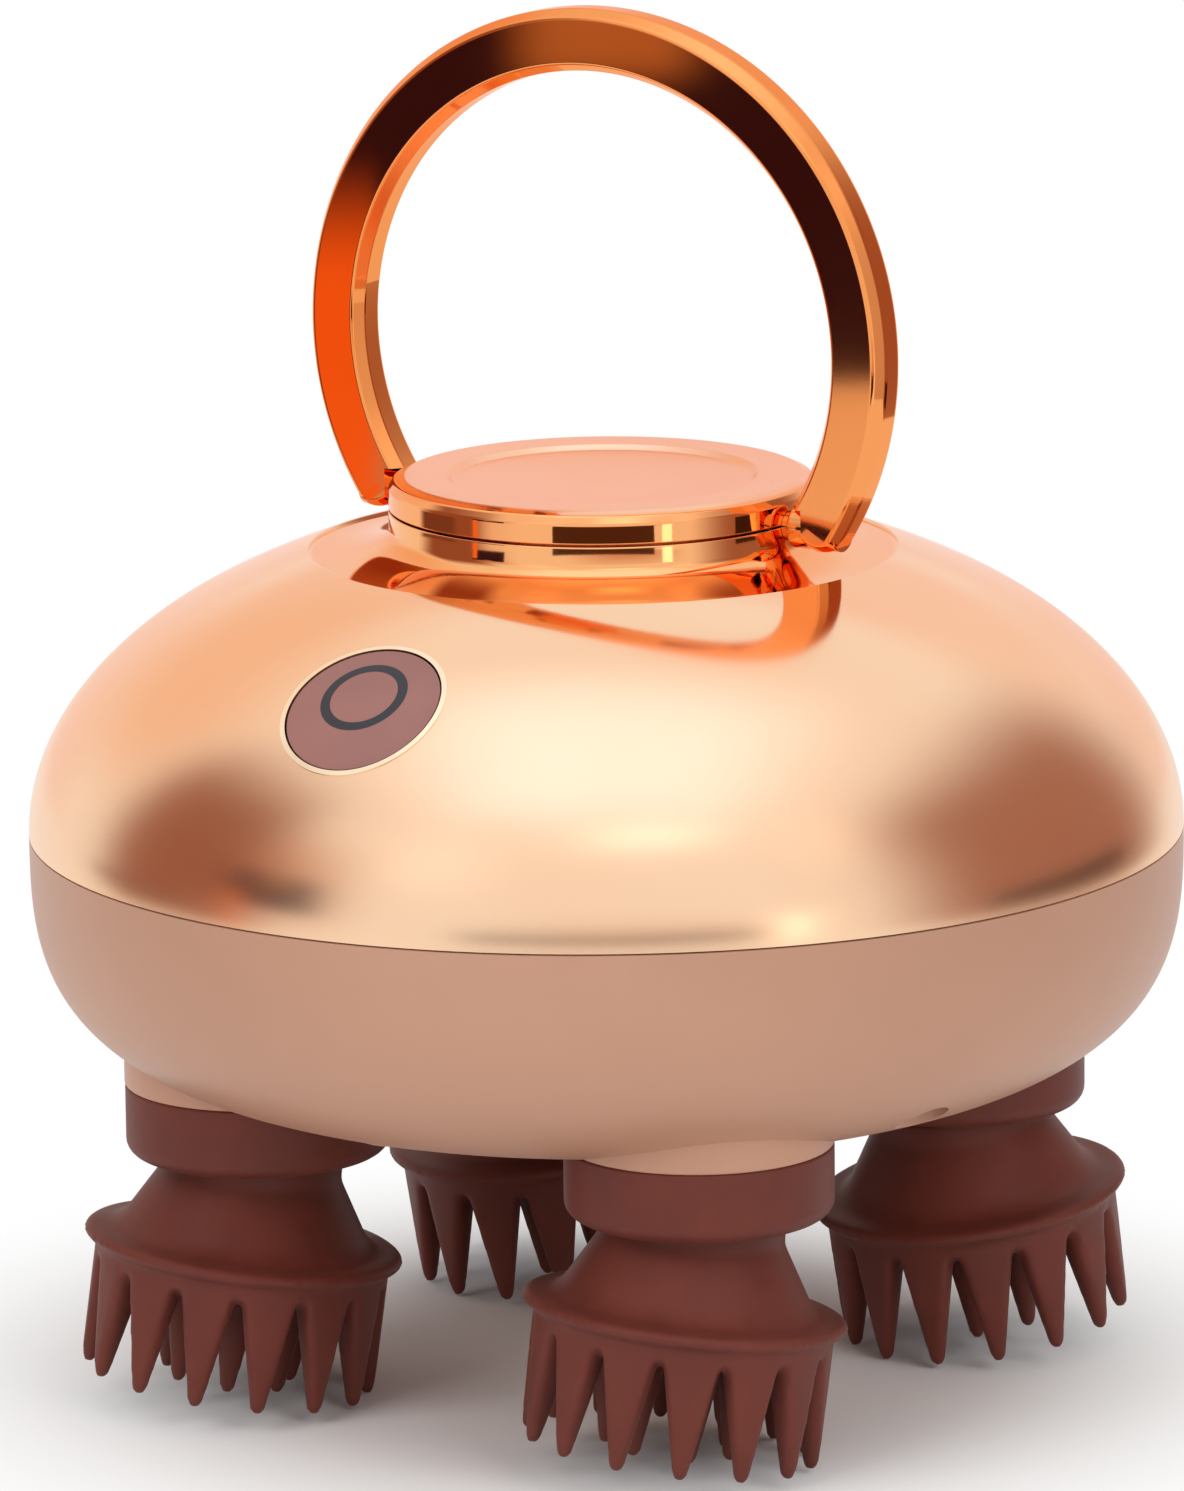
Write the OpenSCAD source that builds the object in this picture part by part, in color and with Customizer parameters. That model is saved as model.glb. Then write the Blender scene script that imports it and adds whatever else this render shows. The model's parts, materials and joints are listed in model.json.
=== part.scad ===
// Hand-held electric scalp massager: a round two-part body on four wobbling
// silicone claws, a press button on its crown and a folding ring handle.
// Millimetres, +Z up. The lowest claw tips stand on z = 0, the body's axis is
// the Z axis, the ring folds about X and the button faces -Y.

/* [Body] */
// Outer diameter at the seam
body_d = 115; // [112:1:122]
// Height of the crown's ellipse above the seam
crown_h = 32.6; // [32:0.1:34]
// Depth of the bowl below the seam
bowl_h = 26.6; // [26:0.1:27.4]
// Squareness of the bowl's outline, across and down
bowl_across = 4; // [3.6:0.1:4.4]
// Squareness of the bowl's outline, downwards
bowl_down = 3.1; // [2.9:0.1:3.3]
// Wall of both shells
wall = 2.2; // [1.8:0.1:2.6]
// Gap between the shells, filled by the seam seal
seam_gap = 0.3; // [0.2:0.1:0.6]
// Height of the tongue that centres the shells
tongue_h = 2; // [1.5:0.1:2.5]

/* [Neck and cap] */
// Outer radius of the neck and of the cap's foot
neck_r = 21.25; // [21:0.05:22]
// Bore of the neck
neck_bore_r = 19; // [18:0.1:19.4]
// Height of the line between neck and cap above the seam
neck_top = 32; // [31.6:0.1:33]
// Height of the neck's straight band
neck_band = 1.7; // [1.2:0.1:2]
// Radius at which the neck's cove meets the crown
cove_r = 29.3; // [28.5:0.1:30]
// Thickness of the cap from the neck line to its rim
cap_h = 3.4; // [3:0.1:4]
// Radius of the cap's rim
cap_rim_r = 19.9; // [19.4:0.1:20.2]
// Radius of the cap's dish
dish_r = 15.1; // [13:0.1:17]
// Depth of the cap's dish
dish_depth = 1.3; // [0.8:0.1:1.8]

/* [Ring handle] */
// Outer radius of the ring
ring_r = 33; // [32.5:0.1:36]
// Thickness of the ring across its face
ring_face = 6.2; // [5:0.1:6.6]
// Width of the ring along its own axis
ring_w = 5; // [4:0.1:5.4]
// Bevel on the ring's edges
ring_bevel = 1.3; // [0.8:0.1:1.6]
// Height of the ring's centre above its pivots
ring_rise = 16.8; // [16:0.1:17.6]
// Gap between the cap's side and the ring's ends
ring_gap = 0.75; // [0.5:0.05:1.2]
// Radius of the rounded foot of each end of the ring
ring_end_r = 3.35; // [3:0.05:3.6]
// Length of the round lugs that shows beside the cap
lug_show = 2; // [1.5:0.1:2.5]
// Radius of the round lug at each end of the ring
lug_r = 2.1; // [2:0.05:2.4]
// Radius of the pivot pins
pin_r = 1.4; // [1.2:0.05:1.5]

/* [Button] */
// Distance of the button's centre inside the body's rim
button_in = 12.5; // [11.5:0.5:14.5]
// Angle of the button's face above upright
button_lean = 54; // [50:1:56]
// Outer radius of the button's bezel
bezel_r = 8.45; // [8:0.05:9]
// Width of the bezel
bezel_w = 0.5; // [0.4:0.05:0.7]
// Gap between bezel and button
button_gap = 0.2; // [0.15:0.05:0.3]
// Travel of the button
button_travel = 0.8; // [0.5:0.1:0.8]

/* [Heads] */
// Distance of the heads' axes inside the body's rim
head_in = 21.5; // [21:0.1:22]
// Radius of each boss under the body
boss_r = 13.2; // [13:0.05:13.5]
// Height of the bosses' edge above the bowl's lowest point
boss_rise = 2.6; // [2.3:0.1:3]
// Width of the cove between a boss and the bowl
boss_cove = 2; // [1.5:0.1:2.2]
// Outer radius of the silicone collars
collar_r = 13.15; // [12.8:0.05:13.3]
// Height of the silicone collars
collar_h = 7.1; // [6.6:0.1:7.4]
// Radius of the collar's mouth round the claw's neck
mouth_r = 9.9; // [9.7:0.05:10.4]
// Height of the claws' wobble centre above the collars' foot
wobble_lift = 2.5; // [2.1:0.1:2.6]
// Tilt of each claw from upright
claw_tilt = 8; // [5:0.5:9]
// Reach of a claw from its wobble centre to its tips
claw_reach = 26.1; // [24:0.1:28]
// Radius of the claw's neck
claw_neck_r = 8.85; // [8.4:0.05:9]
// Radius of the claw's round lip
lip_r = 16.1; // [15.8:0.1:16.6]
// Depth of the lip's lower edge below the wobble centre
lip_drop = 12.9; // [12.5:0.1:13.3]
// Radius of the skirt under the lip
skirt_r = 14.7; // [14.2:0.1:15]
// Height of the skirt before the tines part
skirt_h = 1.6; // [1.2:0.1:2]
// Tines in the outer circle
outer_tines = 14; // [12:1:15]
// Tines in the inner circle
inner_tines = 7; // [5:1:8]
// Radius of a tine's root
tine_root_r = 3.1; // [2.8:0.1:3.2]
// Depth of the outer tines' axes inside the skirt at their roots
tine_in = 1.5; // [1.2:0.1:2.5]
// Radius of a tine's round tip
tine_tip_r = 0.78; // [0.7:0.02:1]
// Radius of the circle of inner tines
inner_ring_r = 6.3; // [6:0.1:6.6]

/* [Drive] */
// Teeth on the centre gear
drive_teeth = 32; // [32:16:32]
// Teeth on each head's gear
head_teeth = 16; // [16:16:16]
// Thickness of the gears
gear_w = 6; // [5:0.5:6]
// Depth of the gears' lower faces below the seam
gear_drop = 16; // [15.5:0.1:16.3]
// Radius of the head spindles
spindle_r = 3; // [2.6:0.1:3.2]
// Radius of the motor's output shaft
drive_shaft_r = 2.5; // [2:0.1:3]
// Radius of the motor and of its gearbox
motor_r = 12.2; // [11:0.1:12.6]
// Length of the motor's can
motor_len = 18; // [16:0.5:19]
// Length of the motor's gearbox
gearbox_len = 10; // [8:0.5:11]
// Thickness of the gear plate
plate_t = 3; // [2.5:0.1:3.5]
// Width of the gear plate outside the heads' axes
plate_rim = 7.5; // [7:0.1:8]

/* [Electronics] */
// Radius of the battery cell
cell_r = 9.1; // [8.5:0.1:9.2]
// Length of the battery cell
cell_len = 50; // [46:1:52]
// Width of the main board
board_w = 48; // [44:1:50]
// Gap between the main board and the motor's cup
board_gap = 3; // [2:0.5:5]
// Thickness of the circuit boards
board_t = 1.6; // [1.2:0.1:1.6]
// Height of the main board over the gear plate
board_rise = 3.5; // [3:0.1:4]
// Height of the charging inlet above the seam
port_z = 6.1; // [6:0.1:6.4]

/* [Fit] */
// Clearance round turning shafts and pins
run_gap = 0.05; // [0.03:0.01:0.1]
// Clearance round pieces that are pushed in
seat_gap = 0.1; // [0.05:0.05:0.15]

/* [Hidden] */
$fn = 96;

// Places of the four heads round the body and the ways their claws lean at rest
heads = ["front_left", "front_right", "back_right", "back_left"];
head_angle = [225, 315, 45, 135];
lean_to = [45, 60, 240, 240];

body_r = body_d / 2;
eps = 0.01;
steps = 30;

// Heads: their circle, and depths below the seam that hang on the bowl's
head_ring_r = body_r - head_in;
boss_drop = bowl_h - boss_rise;
collar_drop = boss_drop + collar_h;
wobble_drop = collar_drop - wobble_lift;

// Heights: the tips' plane is z = 0, and everything else hangs on the seam
tip_len = claw_reach - tine_tip_r;
tip_at = skirt_r - tine_tip_r;
seam_z = wobble_drop + tip_len * cos(claw_tilt)
    + tip_at * cos(180 / outer_tines) * sin(claw_tilt) + tine_tip_r;

// Gears: the module follows from the distance between the axes
gear_module = 2 * head_ring_r / (drive_teeth + head_teeth);
gear_top = gear_w - gear_drop;
plate_z = gear_top + 2;
plate_top = plate_z + plate_t;
plate_r = head_ring_r + plate_rim;

// Case and plate screws
case_post_r = 3.6;
case_post_gap = 0.9;
case_post_at = plate_r + case_post_gap + case_post_r;
case_angles = [20, 160, 200, 340];
plate_post_r = 3.5;
plate_post_at = plate_r - plate_post_r;
screw_r = 1.3;
screw_head_r = 2.4;
screw_head_h = 1.6;
case_recess_top = -7;
case_screw_len = 15;
plate_screw_len = 8;

// Motor's cup on the gear plate, the gearbox's nose in it, and the shaft's two ends
cup_wall = 1.8;
cup_h = 6;
nose_r = 5;
nose_gap = 0.02;
shaft_foot = 2.6;
shaft_inset = 2.4;

// Battery: its cradle lies just inside the plate's screws
cradle_half = cell_r - 0.6;
cradle_gap = 0.4;
cell_back = plate_post_at - screw_head_r - cradle_gap - cradle_half;

// Bosses and bearings under each head
boss_floor = 2;
cove_foot = 1.7;
cove_slope = 1.5;
spigot_r = 11.4;
spigot_gap = 0.4;
spigot_drop = wobble_drop - spigot_gap;
tower_r = 6.8;
tower_top = -gear_drop - 2;
seal_r = 5.8;
seal_h = 2.6;
bush_r = 4.6;
bush_foot = seal_h + 0.4;
hub_r = 5.2;
hub_top = 2.2;
hub_end = 11.2;
stub_r = spindle_r - 0.3;
stub_end = 10.6;
stub_flat = stub_r - 0.6;
tip_slope = 30;

// Button: a local frame on the crown, with its own Z along the press
button_at = body_r - button_in;
button_z = crown_h * sqrt(1 - pow(button_at / body_r, 2));
cap_top_r = bezel_r - bezel_w - button_gap;
bezel_depth = 2;
cap_depth = 3.4;
plunger_len = 0.6;
membrane_top = -(cap_depth + plunger_len + button_travel + 0.1);
membrane_t = 0.7;
switch_h = 3.2;
stem_h = 0.5;
sleeve_end = membrane_top - membrane_t - 0.1 - stem_h - switch_h;
sleeve_r = bezel_r + 1.6;

// Main board: its front edge, its standoffs and the chips on it, each given as
// place across, place behind the front edge, width, depth and height
board_front = body_r - 17.5;
board_deep = board_front - motor_r - cup_wall - board_gap;
board_cut = 8;
standoff_r = 2.4;
standoff_in = 4;
chips = [[-15, 10, 7, 7, 1.2], [-4, 7, 5, 4, 1], [6, board_deep - 8, 4, 5, 1.5],
    [15, board_deep - 11, 5, 7, 3.5], [-21, board_deep - 7, 4, 6, 3.5]];
can_at = [2, board_deep - 3.5];
can_r = 2;
can_h = 3.4;

// Charging inlet at the back
port_w = 13.4;
port_h = 6.8;
port_floor = body_r - 3.6;
pad_t = 3.9;
mouth_depth = 1.3;
socket_w = 8.94;
socket_h = 3.26;
socket_len = 7.3;
socket_face = port_floor - mouth_depth;

// Ring
ring_z = neck_top + ring_rise;
lug_in = neck_r + ring_gap;
ring_end_z = neck_top - lug_r + ring_end_r;
ring_end_x = sqrt(pow(ring_r, 2) - pow(ring_z - ring_end_z, 2)) - ring_end_r;
lug_out = ring_end_x + ring_end_r - ring_bevel;
ring_drop_angle = asin((ring_rise + lug_r) / (ring_r - ring_face / 2)) + 2;
pin_head_r = 2.2;
pin_head_t = 1.2;
pin_head_at = neck_bore_r - 2.4;
spigot_wall = 1.6;
spigot_len = 3;

// Colours, as a maker would name them
rose_gold = [0.86, 0.66, 0.56];
gold = [0.93, 0.66, 0.45];
nude = [0.75, 0.57, 0.47];
silicone = [0.45, 0.25, 0.21];
mauve = [0.66, 0.47, 0.45];
steel = [0.72, 0.72, 0.74];
ivory = [0.9, 0.88, 0.82];
board_green = [0.1, 0.36, 0.22];
dark = [0.15, 0.13, 0.13];

// ---- Outlines and helpers ----

// Point on the crown's outline, shrunk by a wall, at parameter angle a
function crown_point(a, t) = [(body_r - t) * cos(a), (crown_h - t) * sin(a)];

// Point on the bowl's outline, shrunk by a wall, at parameter angle a
function bowl_point(a, t) =
    [(body_r - t) * pow(cos(a), 2 / bowl_across), -(bowl_h - t) * pow(sin(a), 2 / bowl_down)];

// Outline of the crown from its foot at height z0 to radius r1
function crown_line(t, z0, r1) =
    let (a0 = asin(z0 / (crown_h - t)), a1 = acos(r1 / (body_r - t)))
    [for (i = [0:steps]) crown_point(a0 + (a1 - a0) * i / steps, t)];

// Outline of the bowl from the seam down to the axis
function bowl_line(t) = [for (i = [0:steps]) bowl_point(90 * i / steps, t)];

// Concave cove from the neck's band down to the crown
function cove_line(foot) =
    [for (i = [8:-1:0])
        [cove_r - (cove_r - neck_r) * cos(90 * i / 8), neck_top - neck_band
            - (neck_top - neck_band - foot) * sin(90 * i / 8)]];

// Involute of an angle in degrees, in degrees
function involute(a) = tan(a) * 180 / PI - a;

// Half of a tooth's angle at radius r, for n teeth of module m
function tooth_half(r, n, m, slack) =
    let (pitch = n * m / 2, base = pitch * cos(20))
    90 / n - slack / pitch * 90 / PI + involute(20) - involute(acos(base / max(r, base)));

// Outline of a spur gear
function gear_line(n, m) =
    let (pitch = n * m / 2, base = pitch * cos(20), tip = pitch + 0.9 * m,
        radii = [pitch - 1.25 * m, base + 0.05, (base + tip) / 2, tip])
    [for (i = [0:n - 1]) for (j = [0:7])
        let (up = j < 4, r = radii[up ? j : 7 - j],
            a = 360 * i / n + (up ? -1 : 1) * tooth_half(r, n, m, 0.15))
        r * [cos(a), sin(a)]];

module on_seam() { translate([0, 0, seam_z]) children(); }

module at_head(i) {
    rotate([0, 0, head_angle[i]]) translate([head_ring_r, 0, 0])
        rotate([0, 0, -head_angle[i]]) children();
}

module each_head() { for (i = [0:3]) at_head(i) children(); }

// A claw's own frame: origin at its wobble centre, axis leaning as at rest
module on_claw(i) {
    on_seam() at_head(i) translate([0, 0, -wobble_drop])
        rotate([0, 0, lean_to[i]]) rotate([0, claw_tilt, 0]) children();
}

module on_button() {
    on_seam() translate([0, -button_at, button_z]) rotate([90 - button_lean, 0, 0]) children();
}

module around(angles, r) {
    for (a = angles) rotate([0, 0, a]) translate([r, 0, 0]) children();
}

module disc(r, z0, z1) { translate([0, 0, z0]) cylinder(r = r, h = z1 - z0); }

module tube(r, bore, z0, z1) {
    difference() {
        disc(r, z0, z1);
        disc(bore, z0 - 1, z1 + 1);
    }
}

// A flat-sided slot shape along Y, w wide and h high, with round ends
module slot_along_y(w, h, y0, y1) {
    translate([0, y1, 0]) rotate([90, 0, 0]) {
        translate([-(w - h) / 2, -h / 2, 0]) cube([w - h, h, y1 - y0]);
        for (s = [-1, 1]) translate([s * (w - h) / 2, 0, 0]) cylinder(d = h, h = y1 - y0, $fn = 32);
    }
}

// ---- Shells ----

module crown_solid() {
    rotate_extrude() polygon(concat([[0, seam_gap / 2]], crown_line(0, seam_gap / 2, cove_r),
        [[0, crown_point(acos(cove_r / body_r), 0)[1]]]));
}

module bowl_solid() {
    intersection() {
        rotate_extrude() polygon(concat([[0, 0]], bowl_line(0)));
        disc(body_r + 1, -bowl_h - 1, -seam_gap / 2);
    }
}

module upper_shell() {
    edge_z = crown_point(acos(cove_r / body_r), 0)[1];
    color(rose_gold) on_seam() difference() {
        union() {
            // Crown with its cove and neck
            rotate_extrude() polygon(concat(
                crown_line(0, seam_gap / 2, cove_r),
                cove_line(edge_z - 0.25),
                [[neck_r, neck_top], [neck_bore_r, neck_top]],
                [for (i = [steps:-1:0]) crown_line(wall, seam_gap / 2, neck_bore_r)[i]]));
            // Posts that take the case screws
            intersection() {
                crown_solid();
                around(case_angles, case_post_at) disc(case_post_r, seam_gap / 2, crown_h);
            }
            // Sleeve behind the button
            intersection() {
                crown_solid();
                translate([0, -button_at, button_z]) rotate([90 - button_lean, 0, 0])
                    disc(sleeve_r, sleeve_end, 4);
            }
            // Pad behind the charging inlet
            translate([-port_w / 2 - 1, port_floor - pad_t, port_z - port_h / 2 - 0.6])
                cube([port_w + 2, pad_t, port_h + 1.2]);
        }
        around(case_angles, case_post_at) disc(screw_r, -1, case_screw_len + case_recess_top + 1);
        translate([0, -button_at, button_z]) rotate([90 - button_lean, 0, 0]) {
            disc(bezel_r, membrane_top - membrane_t, 6);
            disc(bezel_r - 1.3, sleeve_end - 1, 6);
        }
        translate([0, 0, port_z]) {
            translate([-port_w / 2, port_floor, -port_h / 2]) cube([port_w, 8, port_h]);
            slot_along_y(socket_w + 0.7, socket_h + 0.4, socket_face, port_floor + 1);
            slot_along_y(socket_w, socket_h, port_floor - pad_t - 1, port_floor);
        }
        // Half-round seats for the handle's pins
        translate([-neck_r - 1, 0, neck_top]) rotate([0, 90, 0])
            cylinder(r = pin_r + run_gap, h = 2 * neck_r + 2);
    }
}

// Cove that leads a boss into the bowl on its outer side
module boss_foot() {
    fall = cove_slope * boss_cove;
    top = -boss_drop + cove_foot + fall;
    rotate_extrude() polygon(concat([[0, top], [0, top - fall]],
        [for (a = [0:15:90]) [boss_r + boss_cove * (1 - cos(a)), top - fall * (1 - sin(a))]]));
}

module lower_shell() {
    tongue_r = crown_point(asin(tongue_h / (crown_h - wall)), wall)[0] - seat_gap;
    color(nude) on_seam() difference() {
        union() {
            difference() {
                union() {
                    bowl_solid();
                    each_head() disc(boss_r, -boss_drop, -boss_drop + 10);
                    each_head() boss_foot();
                }
                // The hollow, which leaves a floor over each boss
                difference() {
                    rotate_extrude() polygon(concat([[0, 1]], [[body_r - wall, 1]], bowl_line(wall)));
                    each_head() disc(boss_r, -bowl_h, -boss_drop + boss_floor);
                }
            }
            // Tongue that centres the upper shell
            tube(body_r - wall + 0.2, body_r - wall - 1.6, -4, -seam_gap / 2);
            tube(tongue_r, body_r - wall - 1.6, -4, tongue_h);
            // Posts for the case screws and for the gear plate
            intersection() {
                bowl_solid();
                around(case_angles, case_post_at) disc(case_post_r, -bowl_h, -seam_gap / 2);
            }
            around([0:90:270], plate_post_at) disc(plate_post_r, -boss_drop + 0.5, plate_z);
            // Spigots, bearing towers and the centre's foot bearing
            each_head() {
                disc(spigot_r, -spigot_drop, -boss_drop + 0.5);
                disc(tower_r, -boss_drop, tower_top);
            }
            disc(5, -bowl_h + 1, -gear_drop - 1);
        }
        // Seats for the collars, open round each spigot
        each_head() tube(boss_r + 0.15, spigot_r, -bowl_h - 2, -boss_drop);
        // Hollow spigots with their bores
        each_head() {
            tube(spigot_r - 2, tower_r, -spigot_drop + 2, -boss_drop + boss_floor + 1);
            disc(bush_r, -spigot_drop - 1, tower_top + 1);
            disc(seal_r, -spigot_drop - 1, -spigot_drop + seal_h);
        }
        disc(drive_shaft_r + run_gap, -bowl_h + shaft_foot - 0.4, 0);
        around(case_angles, case_post_at) {
            disc(screw_head_r + 0.2, -bowl_h - 1, case_recess_top);
            disc(screw_r, -bowl_h, 1);
        }
        around([0:90:270], plate_post_at) disc(screw_r, plate_top - plate_screw_len, 1);
    }
}

module seam_seal() {
    color(dark) on_seam() tube(body_r - 0.35, body_r - wall + 0.1 + seat_gap, -seam_gap / 2, seam_gap / 2);
}

// ---- Cap and ring handle ----

module top_cap() {
    color(gold) on_seam() translate([0, 0, neck_top]) difference() {
        union() {
            rotate_extrude() polygon(concat(
                [[0, 0.2], [neck_r, 0.2], [neck_r, 1.6], [neck_r - 0.25, cap_h - 0.9],
                    [neck_r - 0.6, cap_h - 0.3], [cap_rim_r, cap_h]],
                [[dish_r + 1.4, cap_h], [dish_r, cap_h - 0.25]],
                [for (i = [1:8]) [dish_r * (1 - i / 8),
                    cap_h - 0.25 - (dish_depth - 0.25) * (1 - pow(1 - i / 8, 2))]]));
            tube(neck_bore_r - seat_gap, neck_bore_r - spigot_wall, -spigot_len, 0.3);
        }
        // Half-round seats, and room for the pins' heads
        translate([-neck_r - 1, 0, 0]) rotate([0, 90, 0])
            cylinder(r = pin_r + run_gap, h = 2 * neck_r + 2);
        for (s = [-1, 1]) translate([s * (pin_head_at + 1), 0, 0]) rotate([0, 90, 0])
            cylinder(r = pin_head_r + 0.3, h = 2 * pin_head_t + 1.4, center = true);
        translate([-neck_r, -pin_r - run_gap, -spigot_len - 1])
            cube([2 * neck_r, 2 * (pin_r + run_gap), spigot_len + 1]);
    }
}

// The ring's bar as an open circle with bevelled edges
module ring_bar() {
    face = ring_face / 2;
    half = ring_w / 2;
    translate([0, 0, ring_z]) rotate([90, 0, 0]) rotate([0, 0, -ring_drop_angle])
        rotate_extrude(angle = 180 + 2 * ring_drop_angle) translate([ring_r - face, 0])
            polygon([[-face, -half + ring_bevel], [-face + ring_bevel, -half],
                [face - ring_bevel, -half], [face, -half + ring_bevel],
                [face, half - ring_bevel], [face - ring_bevel, half],
                [-face + ring_bevel, half], [-face, half - ring_bevel]]);
}

// A bevelled disc that rounds the foot of one end of the bar
module ring_foot() {
    half = ring_w / 2;
    translate([ring_end_x, 0, ring_end_z]) rotate([90, 0, 0]) rotate_extrude() polygon([[0, -half],
        [ring_end_r - ring_bevel, -half], [ring_end_r, -half + ring_bevel],
        [ring_end_r, half - ring_bevel], [ring_end_r - ring_bevel, half], [0, half]]);
}

module ring_handle() {
    heel = lug_in + lug_show;
    color(gold) on_seam() difference() {
        union() {
            difference() {
                // The bar above its feet, and the feet rounded
                intersection() {
                    ring_bar();
                    union() {
                        translate([-2 * ring_r, -ring_w, ring_end_z]) cube([4 * ring_r, 2 * ring_w, 3 * ring_r]);
                        for (s = [0, 180]) rotate([0, 0, s]) ring_foot();
                    }
                }
                // Room in which the lugs show
                translate([-heel, -ring_w, neck_top - 8]) cube([2 * heel, 2 * ring_w, 8 + lug_r]);
            }
            // Round lugs at its ends
            for (s = [0, 180]) rotate([0, 0, s]) translate([lug_in, 0, neck_top]) rotate([0, 90, 0])
                cylinder(r = lug_r, h = lug_out - lug_in);
        }
        // Flat inner faces beside the cap
        translate([-lug_in, -ring_w, neck_top - 8]) cube([2 * lug_in, 2 * ring_w, 14]);
        // Blind bores for the pins
        for (s = [0, 180]) rotate([0, 0, s]) translate([lug_in - 1, 0, neck_top]) rotate([0, 90, 0])
            cylinder(r = pin_r, h = 4);
    }
}

module handle_pins() {
    color(steel) on_seam() for (s = [0, 180]) rotate([0, 0, s]) translate([0, 0, neck_top])
        rotate([0, 90, 0]) {
            disc(pin_r, pin_head_at, lug_in + 3);
            disc(pin_head_r, pin_head_at, pin_head_at + pin_head_t);
        }
}

// ---- Button ----

module button_bezel() {
    color([0.95, 0.82, 0.66]) on_button() rotate_extrude() polygon([
        [bezel_r - bezel_w, -bezel_depth], [bezel_r, -bezel_depth], [bezel_r, 0.1],
        [bezel_r - 0.15, 0.3], [bezel_r - bezel_w + 0.1, 0.3], [bezel_r - bezel_w, 0.2]]);
}

module button_cap() {
    color(mauve) on_button() {
        // A shallow dished face, a skirt with its stop flange, and the plunger
        rotate_extrude() polygon([
            [0, -cap_depth - plunger_len], [2, -cap_depth - plunger_len], [2, -cap_depth],
            [bezel_r - 0.15, -cap_depth], [bezel_r - 0.15, -bezel_depth - 0.4],
            [cap_top_r, -bezel_depth - 0.4], [cap_top_r, 0.2], [cap_top_r - 0.25, 0.5],
            [cap_top_r - 0.8, 0.6], [cap_top_r * 0.6, 0.42], [cap_top_r * 0.3, 0.32], [0, 0.3]]);
    }
}

module button_membrane() {
    color(dark) on_button() disc(bezel_r - seat_gap, membrane_top - membrane_t, membrane_top);
}

module tact_switch() {
    color(steel) on_button() translate([0, 0, sleeve_end]) {
        translate([-3, -3, 0]) cube([6, 6, switch_h]);
        disc(1.75, 0, switch_h + stem_h);
    }
}

module button_board() {
    color(board_green) on_button() disc(sleeve_r - 0.2, sleeve_end - board_t, sleeve_end);
}

// ---- Electronics ----

module main_board() {
    color(board_green) on_seam() difference() {
        translate([-board_w / 2, -board_front, plate_top + board_rise])
            cube([board_w, board_deep, board_t]);
        for (s = [-1, 1]) translate([s * (board_w / 2 - standoff_in), standoff_in - board_front, 0])
            disc(screw_r, plate_top, plate_top + board_rise + board_t + 1);
        // Corners cut to the body's curve
        for (s = [-1, 1]) translate([s * board_w / 2, -board_front, plate_top + board_rise + board_t / 2])
            rotate([0, 0, 45]) cube([board_cut, board_cut, board_t + 2], center = true);
    }
}

module board_parts() {
    z = plate_top + board_rise + board_t;
    color(dark) on_seam() translate([0, -board_front, z]) {
        for (c = chips) translate([c[0], c[1], 0]) cube([c[2], c[3], c[4]]);
        translate([can_at[0], can_at[1], 0]) disc(can_r, 0, can_h);
    }
}

module battery_cell() {
    color([0.35, 0.5, 0.62]) on_seam()
        translate([-cell_len / 2, cell_back, plate_top + 1.5 + cell_r]) rotate([0, 90, 0]) {
            disc(cell_r, 0, cell_len - 1);
            disc(3, 0, cell_len);
        }
}

module battery_cradle() {
    w = 2 * cradle_half;
    color(ivory) on_seam() difference() {
        translate([-cell_len / 2 - 1.5, cell_back - w / 2, plate_top])
            cube([cell_len + 3, w, cell_r * 0.9]);
        translate([-cell_len / 2 - 0.05, cell_back, plate_top + 1.5 + cell_r]) rotate([0, 90, 0])
            cylinder(r = cell_r + 0.02, h = cell_len + 0.1);
    }
}

// ---- Drive ----

module motor() {
    z0 = plate_top + gearbox_len;
    color(steel) on_seam() {
        rotate_extrude() polygon([[0, z0], [motor_r - 0.2, z0], [motor_r - 0.2, z0 + motor_len - 1.2],
            [motor_r - 1.4, z0 + motor_len], [4, z0 + motor_len], [4, z0 + motor_len + 1.4],
            [0, z0 + motor_len + 1.4]]);
        for (s = [-1, 1]) translate([s * 8 - 0.4, -1.2, z0 + motor_len - eps]) cube([0.8, 2.4, 1.8]);
    }
}

module motor_gearbox() {
    color([0.8, 0.8, 0.82]) on_seam() difference() {
        union() {
            disc(motor_r, plate_top, plate_top + gearbox_len);
            disc(nose_r, plate_z, plate_top + eps);
        }
        disc(drive_shaft_r + run_gap, plate_z - 1, plate_top + gearbox_len - 2);
    }
}

module gear_plate() {
    color(ivory) on_seam() difference() {
        union() {
            disc(plate_r, plate_z, plate_top);
            // Cup that holds the motor's gearbox
            disc(motor_r + cup_wall, plate_z, plate_top + cup_h);
            // Standoffs under the main board
            for (s = [-1, 1]) translate([s * (board_w / 2 - standoff_in), standoff_in - board_front, 0])
                disc(standoff_r, plate_z, plate_top + board_rise);
            translate([0, board_deep - standoff_in - board_front, 0])
                disc(standoff_r, plate_z, plate_top + board_rise);
        }
        disc(motor_r + nose_gap, plate_top, plate_top + cup_h + 1);
        disc(nose_r + nose_gap, plate_z - 1, plate_top + 1);
        each_head() disc(spindle_r + run_gap, plate_z - 1, plate_top + 1);
        around([0:90:270], plate_post_at) disc(screw_r, plate_z - 1, plate_top + 1);
    }
}

module screw(len) {
    disc(screw_head_r, 0, screw_head_h);
    disc(screw_r, -len, eps);
}

module gear_plate_screws() {
    color(steel) on_seam() around([0:90:270], plate_post_at)
        translate([0, 0, plate_top]) screw(plate_screw_len);
}

module case_screws() {
    color(steel) on_seam() around(case_angles, case_post_at)
        translate([0, 0, case_recess_top]) rotate([180, 0, 0]) screw(case_screw_len);
}

module drive_shaft() {
    color(steel) on_seam() disc(drive_shaft_r, -bowl_h + shaft_foot, plate_top + gearbox_len - shaft_inset);
}

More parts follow.
